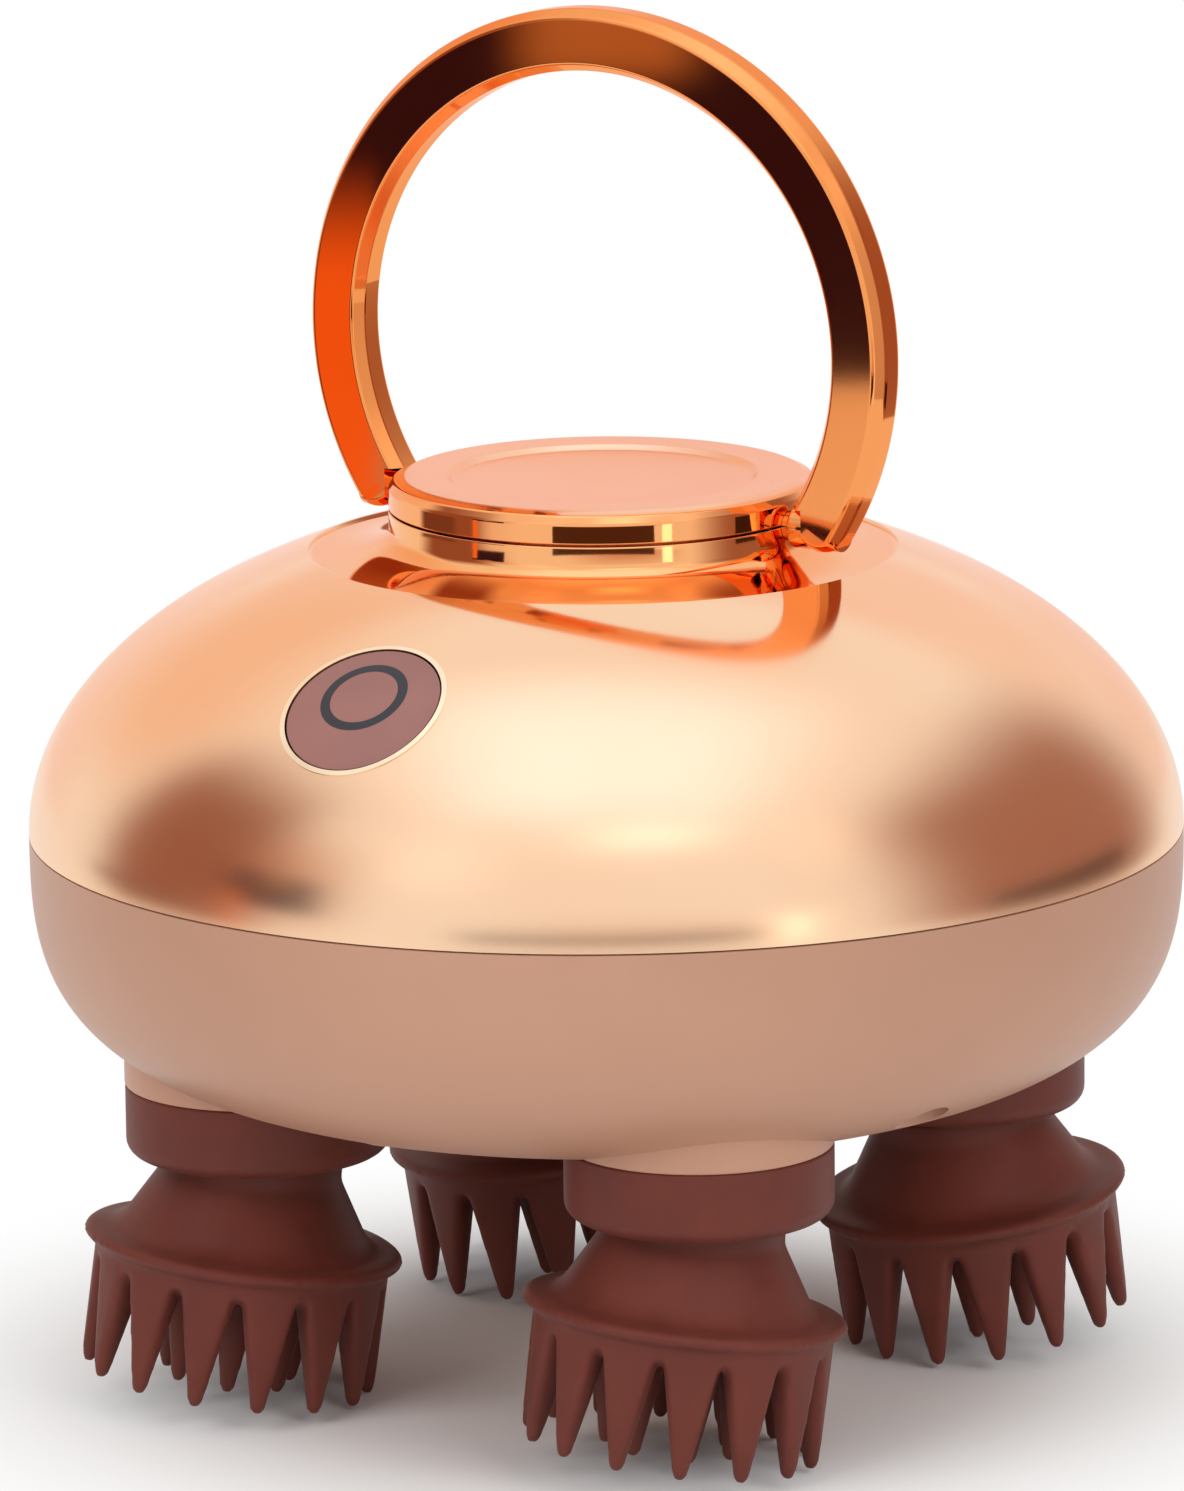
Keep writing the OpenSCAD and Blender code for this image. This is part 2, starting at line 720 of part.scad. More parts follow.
module drive_gear() {
    pitch = drive_teeth * gear_module / 2;
    color(ivory) on_seam() difference() {
        translate([0, 0, -gear_drop]) linear_extrude(gear_w) polygon(gear_line(drive_teeth, gear_module));
        disc(drive_shaft_r, -gear_drop - 1, gear_top + 1);
        // Web thinned from both faces between hub and rim
        tube(pitch - 4.5, 6.5, -gear_drop - 1, -gear_drop + 1.8);
        tube(pitch - 4.5, 6.5, gear_top - 1.8, gear_top + 1);
    }
}

module head_gear(i) {
    color(ivory) on_seam() at_head(i) difference() {
        rotate([0, 0, 180 / head_teeth]) translate([0, 0, -gear_drop])
            linear_extrude(gear_w) polygon(gear_line(head_teeth, gear_module));
        disc(spindle_r, -gear_drop - 1, gear_top + 1);
    }
}

// ---- Charging inlet ----

module charge_socket() {
    color(steel) on_seam() translate([0, 0, port_z]) {
        difference() {
            slot_along_y(socket_w - 0.1, socket_h - 0.1, socket_face - socket_len, socket_face);
            slot_along_y(socket_w - 0.7, socket_h - 0.7, socket_face - socket_len + 1, socket_face + 1);
        }
        translate([-3.3, socket_face - socket_len + 0.5, -0.35]) cube([6.6, socket_len - 1.1, 0.7]);
    }
}

module charge_board() {
    color(board_green) on_seam()
        translate([-7, socket_face - socket_len - 2, port_z - socket_h / 2 + 0.05 - board_t])
            cube([14, port_floor - pad_t - socket_face + socket_len + 2, board_t]);
}

module port_plug() {
    color(nude) on_seam() {
        intersection() {
            crown_solid();
            translate([-port_w / 2 + seat_gap, port_floor + seat_gap, port_z - port_h / 2 + seat_gap])
                cube([port_w - 2 * seat_gap, 6, port_h - 2 * seat_gap]);
        }
        translate([0, 0, port_z])
            slot_along_y(socket_w + 0.3, socket_h, socket_face + 0.15, port_floor + seat_gap + eps);
    }
}

// ---- Heads ----

module collar(i) {
    foot = -collar_drop;
    color(silicone) on_seam() at_head(i) rotate_extrude() polygon([
        [spigot_r, -boss_drop], [collar_r, -boss_drop], [collar_r, foot + 2.2],
        [collar_r - 0.3, foot + 1.1], [collar_r - 1.1, foot + 0.3], [collar_r - 2.2, foot],
        [mouth_r, foot], [mouth_r, -spigot_drop - 0.9], [mouth_r + 0.4, -spigot_drop],
        [spigot_r, -spigot_drop]]);
}

module seal(i) {
    color(dark) on_seam() at_head(i) tube(seal_r, spindle_r + run_gap, -spigot_drop, -spigot_drop + seal_h);
}

module bush(i) {
    color([0.72, 0.55, 0.32]) on_seam() at_head(i)
        tube(bush_r, spindle_r + run_gap, -spigot_drop + bush_foot, tower_top);
}

// The oblique stub's round body with its driving flat, in the claw's frame
module stub(r, flat, end) {
    difference() {
        disc(r, -end, 1);
        translate([flat, -10, -end - 1]) cube([20, 20, end - hub_top + 1]);
    }
}

module spindle(i) {
    color(steel) {
        on_seam() at_head(i) {
            disc(spindle_r, -wobble_drop, plate_top);
            disc(bush_r, tower_top + 0.2, -gear_drop);
        }
        on_claw(i) stub(stub_r, stub_flat, stub_end);
    }
}

module hub(i) {
    color(ivory) on_claw(i) difference() {
        disc(hub_r, -hub_end, -hub_top);
        stub(stub_r, stub_flat, stub_end);
    }
}

// One tine: a long cone with a blunt tip, hanging from its root
module tine(root_r, len) {
    tip = tine_tip_r;
    rotate_extrude($fn = 48) polygon([[0, 0], [root_r, 0],
        [tip * cos(tip_slope), -len - tip * sin(tip_slope)], [0, -len - tip]]);
}

module claw(i) {
    root_at = skirt_r - tine_in;
    outer_lean = atan((tip_at - root_at) / (tip_len - lip_drop));
    color(silicone) on_claw(i) difference() {
        union() {
            // Neck, cone and lip
            rotate_extrude() polygon([
                [0, -hub_top], [claw_neck_r, -hub_top], [claw_neck_r, -hub_top - 2.4],
                [lip_r - 3.9, -lip_drop + 2.5], [lip_r - 3, -lip_drop + 1.85],
                [lip_r - 0.8, -lip_drop + 1.4], [lip_r - 0.2, -lip_drop + 1.1],
                [lip_r, -lip_drop + 0.7], [lip_r - 0.2, -lip_drop + 0.2],
                [lip_r - 0.7, -lip_drop], [0, -lip_drop]]);
            // Skirt and outer tines, turned to one round face outside
            intersection() {
                disc(skirt_r, -claw_reach, -lip_drop + eps);
                union() {
                    disc(lip_r, -lip_drop - skirt_h, 0);
                    for (k = [0:outer_tines - 1]) rotate([0, 0, (k + 0.5) * 360 / outer_tines])
                        translate([root_at, 0, -lip_drop]) rotate([0, -outer_lean, 0])
                            tine(tine_root_r, (tip_len - lip_drop) / cos(outer_lean));
                }
            }
            // Inner circle of tines
            for (k = [0:inner_tines - 1]) rotate([0, 0, k * 360 / inner_tines])
                translate([inner_ring_r, 0, -lip_drop]) tine(tine_root_r - 0.3, tip_len - lip_drop);
        }
        disc(hub_r, -hub_end, 0);
    }
}

upper_shell();
lower_shell();
seam_seal();
top_cap();
ring_handle();
handle_pins();
button_bezel();
button_cap();
button_membrane();
tact_switch();
button_board();
main_board();
board_parts();
battery_cell();
battery_cradle();
motor();
motor_gearbox();
gear_plate();
gear_plate_screws();
case_screws();
drive_shaft();
drive_gear();
charge_socket();
charge_board();
port_plug();
for (i = [0:3]) {
    collar(i);
    seal(i);
    bush(i);
    head_gear(i);
    spindle(i);
    hub(i);
    claw(i);
}
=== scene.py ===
# %% [markdown]
# # Electric scalp massager
#
# A scalp massager is held by its round body or by the ring on top. Four silicone heads under
# it wobble against the scalp while a motor turns them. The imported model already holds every
# solid and every joint, so this lesson gives the outside its real looks: finely turned plated
# shells, a bright ring, a printed button, soft silicone and plain studio light.
# Sizes are in millimetres from the seam between the shells, as in the part's own source, and
# each finished piece is brought to metres in one place.

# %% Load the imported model
import json
import math

import bmesh
import bpy
from mathutils import Matrix, Vector


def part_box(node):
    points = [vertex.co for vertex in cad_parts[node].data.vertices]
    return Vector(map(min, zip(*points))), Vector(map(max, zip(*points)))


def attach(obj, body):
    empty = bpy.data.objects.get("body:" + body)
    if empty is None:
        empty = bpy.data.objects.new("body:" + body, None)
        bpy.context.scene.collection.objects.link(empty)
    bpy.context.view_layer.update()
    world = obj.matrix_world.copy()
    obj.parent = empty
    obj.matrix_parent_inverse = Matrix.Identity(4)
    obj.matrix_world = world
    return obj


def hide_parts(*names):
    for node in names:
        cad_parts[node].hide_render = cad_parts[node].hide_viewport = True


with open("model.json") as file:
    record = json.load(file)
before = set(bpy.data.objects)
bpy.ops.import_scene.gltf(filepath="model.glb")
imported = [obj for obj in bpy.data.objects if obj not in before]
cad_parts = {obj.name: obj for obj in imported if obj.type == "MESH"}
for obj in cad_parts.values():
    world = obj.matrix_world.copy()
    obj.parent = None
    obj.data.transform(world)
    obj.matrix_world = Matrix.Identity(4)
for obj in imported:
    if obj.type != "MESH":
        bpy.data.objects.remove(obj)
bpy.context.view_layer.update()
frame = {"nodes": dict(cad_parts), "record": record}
MM = 0.001
print("packed nodes:", len(frame["nodes"]))

# %% [markdown]
# ## Measures
#
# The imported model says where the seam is, how wide the body is and where the four heads stand.
# The other sizes are the part's own, so a turned piece lies on the solid that it replaces.

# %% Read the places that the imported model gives
seal_low, seal_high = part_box("seam_seal")
seam_height = (seal_low.z + seal_high.z) / 2 / MM
body_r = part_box("upper_shell")[1].x / MM
HEADS = ["front_left", "front_right", "back_right", "back_left"]


def head_place(name):
    """Middle of one head's collar, seen from above."""
    low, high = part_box("collar_" + name)
    return Vector(((low.x + high.x) / 2 / MM, (low.y + high.y) / 2 / MM, 0))


head_at = {name: head_place(name) for name in HEADS}
print("seam at", round(seam_height, 2), "mm, body radius", round(body_r, 2), "mm")

# %% Name the sizes that the outside needs
crown_h, bowl_h, wall = 32.6, 26.6, 2.2
seam_half = 0.1
neck_r, neck_bore, neck_top, neck_band, cove_r = 21.25, 19.0, 32.0, 1.7, 29.3
cap_h, cap_rim_r, dish_r, dish_depth = 3.4, 19.9, 15.1, 1.3
ring_r, ring_face, ring_w, ring_bevel, ring_rise = 33.0, 6.2, 5.0, 1.3, 16.8
pin_r, lug_r, lug_in, lug_show, ring_end_r = 1.45, 2.1, 22.0, 2.0, 3.35
button_at, button_lean = 45.0, 54.0
button_z = crown_h * math.sqrt(1 - (button_at / body_r) ** 2)
bezel_r, bezel_w, button_gap = 8.45, 0.5, 0.2
boss_r, boss_drop, spigot_r, spigot_drop, tower_r, tower_top = 13.2, 24.0, 11.4, 28.2, 6.8, -18.0
collar_r, collar_drop, mouth_r = 13.15, 31.1, 9.9
wobble_drop, claw_tilt, claw_reach = 28.6, 8.0, 26.1
screw_bore_r, post_r, head_recess_r = 1.3, 3.6, 2.6
cap_foot_r, cap_groove_r, cap_foot_drop = 18.9, 17.3, 3.0
button_top, button_stop, button_skirt, plunger_r = 2.0, 2.4, 3.4, 2.0
tine_count, inner_tine_count, tine_tip_r = 14, 7, 0.78
lip_r, lip_drop, skirt_r, skirt_h = 16.1, 12.9, 14.7, 1.6
lean_to = {"front_left": 45, "front_right": 60, "back_right": 240, "back_left": 240}

# %% [markdown]
# ## Helpers for turned shapes
#
# Nearly everything here is turned, as on a lathe. One line of points (radius, height) is spun
# round the axis. Real edges are never quite sharp, so a corner can be given a radius and
# becomes an arc before the line is spun: that thin arc is what catches the light on plated
# parts. A Bevel modifier could do it too, but it would also touch the long smooth curves.


# %% Turn corners into arcs
def outline(*corners, closed=False):
    """Points of a line through corners (radius, height) or (radius, height, arc radius).

    A point close beside each arc keeps the flat next to it truly flat when it is shaded smooth.
    """
    spots = [Vector(corner[:2]) for corner in corners]
    inside = range(len(corners)) if closed else range(1, len(corners) - 1)
    arcs = {}
    for i in inside:
        r = corners[i][2] if len(corners[i]) > 2 else 0
        to_last = (spots[i - 1] - spots[i]).normalized()
        to_next = (spots[(i + 1) % len(spots)] - spots[i]).normalized()
        if r:
            half = to_last.angle(to_next) / 2
            arcs[i] = (r, half, to_last, to_next, r / math.tan(half))
    points = []
    for i, here in enumerate(spots):
        if i not in arcs:
            points.append(here)
            continue
        r, half, to_last, to_next, reach = arcs[i]
        centre = here + (to_last + to_next).normalized() * (r / math.sin(half))
        start = here + to_last * reach - centre
        end = here + to_next * reach - centre
        first = math.atan2(start.y, start.x)
        turn = (math.atan2(end.y, end.x) - first + math.pi) % math.tau - math.pi
        steps = max(3, math.ceil(abs(turn) / math.radians(14)))
        angles = [first + turn * k / steps for k in range(steps + 1)]
        arc = [centre + Vector((math.cos(a), math.sin(a))) * r for a in angles]
        for j, way, at in ((i - 1, to_last, 0), ((i + 1) % len(spots), to_next, len(arc))):
            next_reach = arcs[j % len(spots)][4] if j % len(spots) in arcs else 0
            flat = (spots[j] - here).length - reach - next_reach
            if flat > 0.12:
                arc.insert(at if at == 0 else len(arc), here + way * (reach + 0.03))
        points += arc
    return points


# %% Spin a line round the Z axis
def turned(points, steps=64, closed=False):
    """A turned shape in a new bmesh; points run from the axis to the axis, or are closed."""
    bm = bmesh.new()
    verts = [bm.verts.new((p[0], 0, p[1])) for p in points]
    edges = [bm.edges.new(pair) for pair in zip(verts, verts[1:])]
    if closed:
        edges.append(bm.edges.new((verts[-1], verts[0])))
    bmesh.ops.spin(bm, geom=verts + edges, cent=(0, 0, 0), axis=(0, 0, 1), dvec=(0, 0, 0),
                   angle=math.tau, steps=steps, use_merge=True)
    bmesh.ops.remove_doubles(bm, verts=bm.verts[:], dist=1e-4)
    bmesh.ops.recalc_face_normals(bm, faces=bm.faces[:])
    return bm


def disc(r, low, high, steps=48):
    """A plain round cutter or filler from one height to another."""
    bm = bmesh.new()
    bmesh.ops.create_cone(bm, cap_ends=True, segments=steps, radius1=r, radius2=r,
                          depth=high - low)
    bmesh.ops.translate(bm, vec=(0, 0, (low + high) / 2), verts=bm.verts[:])
    return bm


# %% [markdown]
# ## Helpers that cut, join and finish
#
# Holes and bosses are made with the Boolean modifier, which joins closed shapes cleanly. Each
# finished piece is scaled to metres, lifted to the seam, smoothed between its real edges and set
# on the body it rides on. The imported solids that it stands for are hidden.


# %% Move and combine shapes
def moved(bm, *matrices):
    """The shape copied to each of these places."""
    whole = bmesh.new()
    part = bpy.data.meshes.new("part")
    bm.to_mesh(part)
    for matrix in matrices:
        first = len(whole.verts)
        whole.from_mesh(part)
        whole.verts.ensure_lookup_table()
        bmesh.ops.transform(whole, matrix=matrix, verts=whole.verts[first:])
    bpy.data.meshes.remove(part)
    bm.free()
    return whole


def combined(bm, how, *tools):
    """DIFFERENCE, UNION or INTERSECT of a closed shape with each tool in turn."""
    made = []
    for shape in (bm,) + tools:
        mesh = bpy.data.meshes.new("tool")
        shape.to_mesh(mesh)
        shape.free()
        thing = bpy.data.objects.new("tool", mesh)
        bpy.context.scene.collection.objects.link(thing)
        made.append(thing)
    for tool in made[1:]:
        modifier = made[0].modifiers.new(how, "BOOLEAN")
        modifier.operation = how
        modifier.solver = "MANIFOLD"
        modifier.object = tool
    depsgraph = bpy.context.evaluated_depsgraph_get()
    result = bmesh.new()
    mesh = bpy.data.meshes.new_from_object(made[0].evaluated_get(depsgraph))
    result.from_mesh(mesh)
    bpy.data.meshes.remove(mesh)
    for thing in made:
        mesh = thing.data
        bpy.data.objects.remove(thing)
        bpy.data.meshes.remove(mesh)
    return result


# %% Finish a piece and let it ride
def piece(name, bm, body, finish, nodes, sharp=30):
    """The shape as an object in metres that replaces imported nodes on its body."""
    place = Matrix.Translation((0, 0, seam_height * MM)) @ Matrix.Scale(MM, 4)
    bmesh.ops.transform(bm, matrix=place, verts=bm.verts[:])
    mesh = bpy.data.meshes.new(name)
    bm.to_mesh(mesh)
    bm.free()
    mesh.shade_smooth()
    mesh.set_sharp_from_angle(angle=math.radians(sharp))
    mesh.materials.clear()
    mesh.materials.append(finish)
    made = bpy.data.objects.new(name, mesh)
    bpy.context.scene.collection.objects.link(made)
    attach(made, body)
    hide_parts(*nodes)
    print(name, "faces:", len(mesh.polygons))
    return made


def at_heads():
    """Places of the four heads, as matrices."""
    return [Matrix.Translation(head_at[name]) for name in HEADS]


def around(angles, r):
    """Places on a circle, as matrices."""
    return [Matrix.Rotation(math.radians(a), 4, "Z") @ Matrix.Translation((r, 0, 0)) for a in angles]


# %% [markdown]
# ## Finishes
#
# No real surface is one flat colour. Each finish starts from the colour that was measured and
# varies it a little with noise in the piece's own coordinates, varies its roughness, and adds a
# fine bump. Plated plastic is a metal to the renderer: its colour is in the reflection, so it
# needs something soft and something dark around it, which the studio below gives.


# %% Colours and a helper for procedural finishes
def tint(r, g, b):
    """A colour as a screen shows it (0 to 255), as the renderer needs it."""
    def straight(c):
        c /= 255
        return c / 12.92 if c <= 0.04045 else ((c + 0.055) / 1.055) ** 2.4
    return (straight(r), straight(g), straight(b), 1)


def wire(material, source, target):
    material.node_tree.links.new(source, target)


def add(material, kind, **settings):
    """A new node in the finish, with these settings."""
    node = material.node_tree.nodes.new(kind)
    for key, value in settings.items():
        setattr(node, key, value)
    return node


def spread(material, value, low, high, to_low, to_high):
    """Map a value from one range to another with soft ends."""
    node = add(material, "ShaderNodeMapRange", interpolation_type="SMOOTHSTEP")
    wire(material, value, node.inputs["Value"])
    for key, number in (("From Min", low), ("From Max", high), ("To Min", to_low), ("To Max", to_high)):
        node.inputs[key].default_value = number
    return node.outputs["Result"]


def noise(material, vector, scale, detail=3.0, rough=0.55):
    node = add(material, "ShaderNodeTexNoise")
    node.inputs["Scale"].default_value = scale
    node.inputs["Detail"].default_value = detail
    node.inputs["Roughness"].default_value = rough
    wire(material, vector, node.inputs["Vector"])
    return node.outputs["Fac"]


def blend_colours(material, factor, low, high):
    node = add(material, "ShaderNodeMix", data_type="RGBA")
    for socket, value in ((node.inputs[0], factor), (node.inputs[6], low), (node.inputs[7], high)):
        if isinstance(value, tuple):
            socket.default_value = value
        else:
            wire(material, value, socket)
    return node.outputs[2]


def bump(material, height, strength, distance):
    node = add(material, "ShaderNodeBump")
    node.inputs["Strength"].default_value = strength
    node.inputs["Distance"].default_value = distance
    wire(material, height, node.inputs["Height"])
    wire(material, node.outputs["Normal"], material.node_tree.nodes["Principled BSDF"].inputs["Normal"])
    return node


def surface(name, dark, light, rough, grain, bump_by=(0.15, 0.0001), metallic=0.0, cloud=40, **sockets):
    """A Principled finish: two close colours, a range of roughness and a fine grain."""
    material = bpy.data.materials.new(name)
    material.use_nodes = True
    shader = material.node_tree.nodes["Principled BSDF"]
    shader.inputs["Metallic"].default_value = metallic
    for key, value in sockets.items():
        shader.inputs[key.replace("_", " ").title().replace("Ior", "IOR")].default_value = value
    where = add(material, "ShaderNodeTexCoord").outputs["Object"]
    clouds = noise(material, where, cloud)
    wire(material, blend_colours(material, spread(material, clouds, 0.35, 0.65, 0, 1), dark, light),
         shader.inputs["Base Color"])
    wire(material, spread(material, clouds, 0.3, 0.7, rough[0], rough[1]), shader.inputs["Roughness"])
    bump(material, noise(material, where, grain, 2.0), *bump_by)
    return material


def part_of(material, kind):
    """The first node of a kind in a finish."""
    return next(n for n in material.node_tree.nodes if n.bl_idname == kind)


def from_body_axis(material):
    """How far a point of the surface is from the body's upright axis, in metres."""
    flat = add(material, "ShaderNodeVectorMath", operation="MULTIPLY")
    flat.inputs[1].default_value = (1, 1, 0)
    wire(material, part_of(material, "ShaderNodeTexCoord").outputs["Object"], flat.inputs[0])
    far = add(material, "ShaderNodeVectorMath", operation="LENGTH")
    wire(material, flat.outputs["Vector"], far.inputs[0])
    return far.outputs["Value"]


def painted_reflection_gold(material, how_much, gold):
    """Blend the finish's own colour towards a deeper gold where how_much is 1: a painted reflection of dark
    surroundings on polished plating.
    """
    colour = material.node_tree.nodes["Principled BSDF"].inputs["Base Color"]
    wire(material, blend_colours(material, how_much, colour.links[0].from_socket, gold), colour)


print("helpers ready")

# %% [markdown]
# ### Plated and painted shells
#
# The crown is vacuum-plated and lacquered in rose gold: almost a mirror round the neck, where it
# was polished, and satin towards the seam. So the roughness follows the distance from the body's
# axis. The neck and the cap's side are blended to a deeper gold, a painted reflection of the dark
# bands that polished plating mirrors there. The cap is satin on top and polished at its side. The
# bowl under the seam is a satin nude lacquer.

# %% Rose gold, satin cap and mirror gold
crown_finish = surface("rose_gold_lacquer", tint(249, 206, 169), tint(252, 213, 178), (0.2, 0.24), 900,
                       (0.02, 0.00004), metallic=1.0, cloud=18, specular_tint=(1, 0.97, 0.94, 1))
shader = crown_finish.node_tree.nodes["Principled BSDF"]
from_axis = from_body_axis(crown_finish)
wire(crown_finish, spread(crown_finish, from_axis, 0.031, 0.046, 0.06, 0.24), shader.inputs["Roughness"])
# Painted reflection: the polished neck is blended to a deeper gold, like the dark bands it mirrors.
painted_reflection_gold(crown_finish, spread(crown_finish, from_axis, 0.0285, 0.0295, 1, 0), tint(249, 178, 118))

ring_finish = surface("mirror_gold_plating", tint(243, 150, 82), tint(247, 158, 92), (0.03, 0.06), 700,
                      (0.01, 0.00003), metallic=1.0, cloud=25, specular_tint=(1, 0.8, 0.66, 1))
cap_finish = surface("satin_gold_plating", tint(246, 194, 160), tint(250, 201, 168), (0.26, 0.32), 1500,
                     (0.03, 0.00004), metallic=1.0, cloud=25, specular_tint=(1, 0.86, 0.82, 1))
shader = cap_finish.node_tree.nodes["Principled BSDF"]
from_axis = from_body_axis(cap_finish)
wire(cap_finish, spread(cap_finish, from_axis, 0.0196, 0.0204, 0.27, 0.04), shader.inputs["Roughness"])
# Painted reflection: the cap's polished side is blended to a deeper gold, like the dark bands it mirrors.
painted_reflection_gold(cap_finish, spread(cap_finish, from_axis, 0.0201, 0.0208, 0, 1), tint(249, 172, 112))
trim_finish = surface("pale_gold_plating", tint(252, 226, 190), tint(255, 236, 205), (0.06, 0.1), 700,
                      (0.01, 0.00003), metallic=1.0)
nude_finish = surface("nude_lacquer", tint(191, 142, 116), tint(197, 148, 122), (0.42, 0.48), 1400,
                      (0.05, 0.00005), cloud=22, coat_weight=0.15, coat_roughness=0.35)
print("plated and painted finishes ready")

# %% [markdown]
# ### Button, silicone and the hidden pieces
#
# The button is a satin mauve plastic with one plain ring printed on it. The print follows the
# button's own face, so a Mapping node brings the coordinates into the button's frame first. The
# silicone is matte, with a soft bloom where it is seen edge on. The pieces inside show only when
# the shells are taken off, and get the finish of their real materials.

# %% The printed button
button_finish = surface("mauve_button_plastic", tint(150, 102, 96), tint(157, 108, 101), (0.4, 0.48), 1200,
                        (0.05, 0.00004), cloud=60, specular_ior_level=0.3)
shader = button_finish.node_tree.nodes["Principled BSDF"]
plain = shader.inputs["Base Color"].links[0].from_socket
print_side, print_up, print_r = -0.0004, 0.0012, 0.00392
print_inner_half, print_outer_half = 0.00045, 0.00055
lean = math.radians(button_lean)
face = add(button_finish, "ShaderNodeMapping", vector_type="TEXTURE")
face.inputs["Location"].default_value = (print_side, -button_at * MM + print_up * math.sin(lean),
                                         (seam_height + button_z) * MM + print_up * math.cos(lean))
face.inputs["Rotation"].default_value = (math.radians(90 - button_lean), 0, 0)
wire(button_finish, part_of(button_finish, "ShaderNodeTexCoord").outputs["Object"], face.inputs["Vector"])
flat = add(button_finish, "ShaderNodeVectorMath", operation="MULTIPLY")
flat.inputs[1].default_value = (1, 1, 0)
wire(button_finish, face.outputs["Vector"], flat.inputs[0])
from_middle = add(button_finish, "ShaderNodeVectorMath", operation="LENGTH")
wire(button_finish, flat.outputs["Vector"], from_middle.inputs[0])
off_ring = add(button_finish, "ShaderNodeMath", operation="SUBTRACT")
off_ring.inputs[1].default_value = print_r
wire(button_finish, from_middle.outputs["Value"], off_ring.inputs[0])
off_ring_size = add(button_finish, "ShaderNodeMath", operation="ABSOLUTE")
wire(button_finish, off_ring.outputs["Value"], off_ring_size.inputs[0])
printed = spread(button_finish, off_ring_size.outputs["Value"], print_inner_half, print_outer_half, 1, 0)
print_colour = tint(48, 48, 54)
wire(button_finish, blend_colours(button_finish, printed, plain, print_colour), shader.inputs["Base Color"])

# %% Silicone and the hidden pieces
silicone_finish = surface("brown_silicone_rubber", tint(103, 47, 37), tint(111, 52, 41), (0.5, 0.6), 1600,
                          (0.08, 0.00006), cloud=120, specular_ior_level=0.3, sheen_weight=0.03,
                          sheen_roughness=0.4)
hidden = {
    "dark_seal": surface("dark_seal_rubber", tint(58, 44, 40), tint(66, 50, 46), (0.6, 0.75), 900),
    "steel": surface("bright_steel", tint(196, 196, 200), tint(214, 214, 218), (0.18, 0.3), 1500,
                     metallic=1.0, cloud=200),
    "pale_gold_trim": trim_finish,
    "mirror_gold": ring_finish,
    "switch_plastic": surface("black_switch_plastic", tint(38, 38, 40), tint(46, 46, 48), (0.35, 0.45), 900),
    "circuit_board": surface("green_solder_mask", tint(24, 92, 58), tint(30, 104, 66), (0.25, 0.4), 1200,
                             cloud=400, coat_weight=0.4, coat_roughness=0.2),
    "chip_plastic": surface("black_chip_plastic", tint(34, 34, 36), tint(44, 44, 46), (0.5, 0.6), 1500),
    "cell_wrap": surface("blue_cell_sleeve", tint(58, 98, 140), tint(66, 108, 150), (0.25, 0.35), 500,
                         coat_weight=0.5, coat_roughness=0.15),
    "inner_plastic": surface("ivory_inner_plastic", tint(222, 218, 206), tint(230, 226, 214), (0.4, 0.5),
                             900),
    "zinc": surface("cast_zinc", tint(176, 178, 184), tint(196, 198, 204), (0.3, 0.45), 1400,
                    metallic=1.0, cloud=300),
    "gear_plastic": surface("slippery_gear_plastic", tint(232, 230, 220), tint(240, 238, 228), (0.3, 0.4),
                            700),
    "rose_gold_rubber": surface("rose_plug_rubber", tint(206, 158, 132), tint(214, 166, 140), (0.5, 0.62),
                                1100),
    "brown_silicone": silicone_finish,
    "bronze": surface("sintered_bronze", tint(170, 130, 74), tint(190, 148, 88), (0.35, 0.5), 2500,
                      (0.2, 0.0001), metallic=1.0, cloud=500),
}
slot_of = {part["node"]: part["material_slot"] for part in frame["record"]["subparts"]}
dressed = 0
for name, thing in frame["nodes"].items():
    if slot_of[name] in hidden:
        for seat in thing.material_slots:
            seat.material = hidden[slot_of[name]]
        dressed += 1
for seat in frame["nodes"]["handle_pins"].material_slots:
    seat.material = ring_finish
print("packed nodes dressed:", dressed)

# %% [markdown]
# ## The crown
#
# The crown is a moulding with a mirror finish, and a mirror shows every facet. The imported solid
# has thirty bands, so the crown is turned again from the same ellipse with many more steps. A
# small step and a concave cove lead up to the neck, where the cap sits. Its edges are rounded by
# a tenth of a millimetre or two, which gives the thin bright lines that plated edges have.


# %% Outline of the crown
def crown_arc(inset, low, r_end, steps):
    """Ellipse of the crown from a height above the seam up to a radius."""
    start = math.asin(low / (crown_h - inset))
    end = math.acos(r_end / (body_r - inset))
    return [((body_r - inset) * math.cos(start + (end - start) * k / steps),
             (crown_h - inset) * math.sin(start + (end - start) * k / steps)) for k in range(steps + 1)]


outer = crown_arc(0, seam_half, cove_r + 0.12, 84)
step_top = outer[-1][1]
step_foot = step_top - 0.25
band_foot = neck_top - neck_band
cove = [(cove_r - (cove_r - neck_r) * math.cos(math.radians(a)),
         band_foot - (band_foot - step_foot) * math.sin(math.radians(a))) for a in range(84, -1, -6)]
inner = crown_arc(wall, 0.3, neck_bore, 24)
step = outline((outer[-1][0], step_top), (cove_r - 0.02, step_top - 0.04), (cove_r - 0.06, step_foot),
               cove[0])
crown_line = ([(body_r - 0.12, seam_half - 0.04)] + outer + step[1:-1]
              + cove + outline((neck_r, band_foot), (neck_r, neck_top, 0.16), (neck_bore, neck_top))[1:]
              + inner[::-1] + [(body_r - 0.6, 0.3), (body_r - 0.45, seam_half - 0.04)])
print("points on the crown's outline:", len(crown_line))


# %% Frame of the button and shapes behind the crown's skin
def on_button(bm):
    """Move a shape from the button's own frame to its place on the crown."""
    lean = Matrix.Rotation(math.radians(90 - button_lean), 4, "X")
    return moved(bm, Matrix.Translation((0, -button_at, button_z)) @ lean)


def crown_room(inset=0.8, steps=40, turns=96):
    """Everything inside the crown's outer face, or inside a skin that stands a little off it."""
    return turned([(0, 0.3)] + crown_arc(inset, 0.3, cove_r, steps) + [(0, 28)], turns)


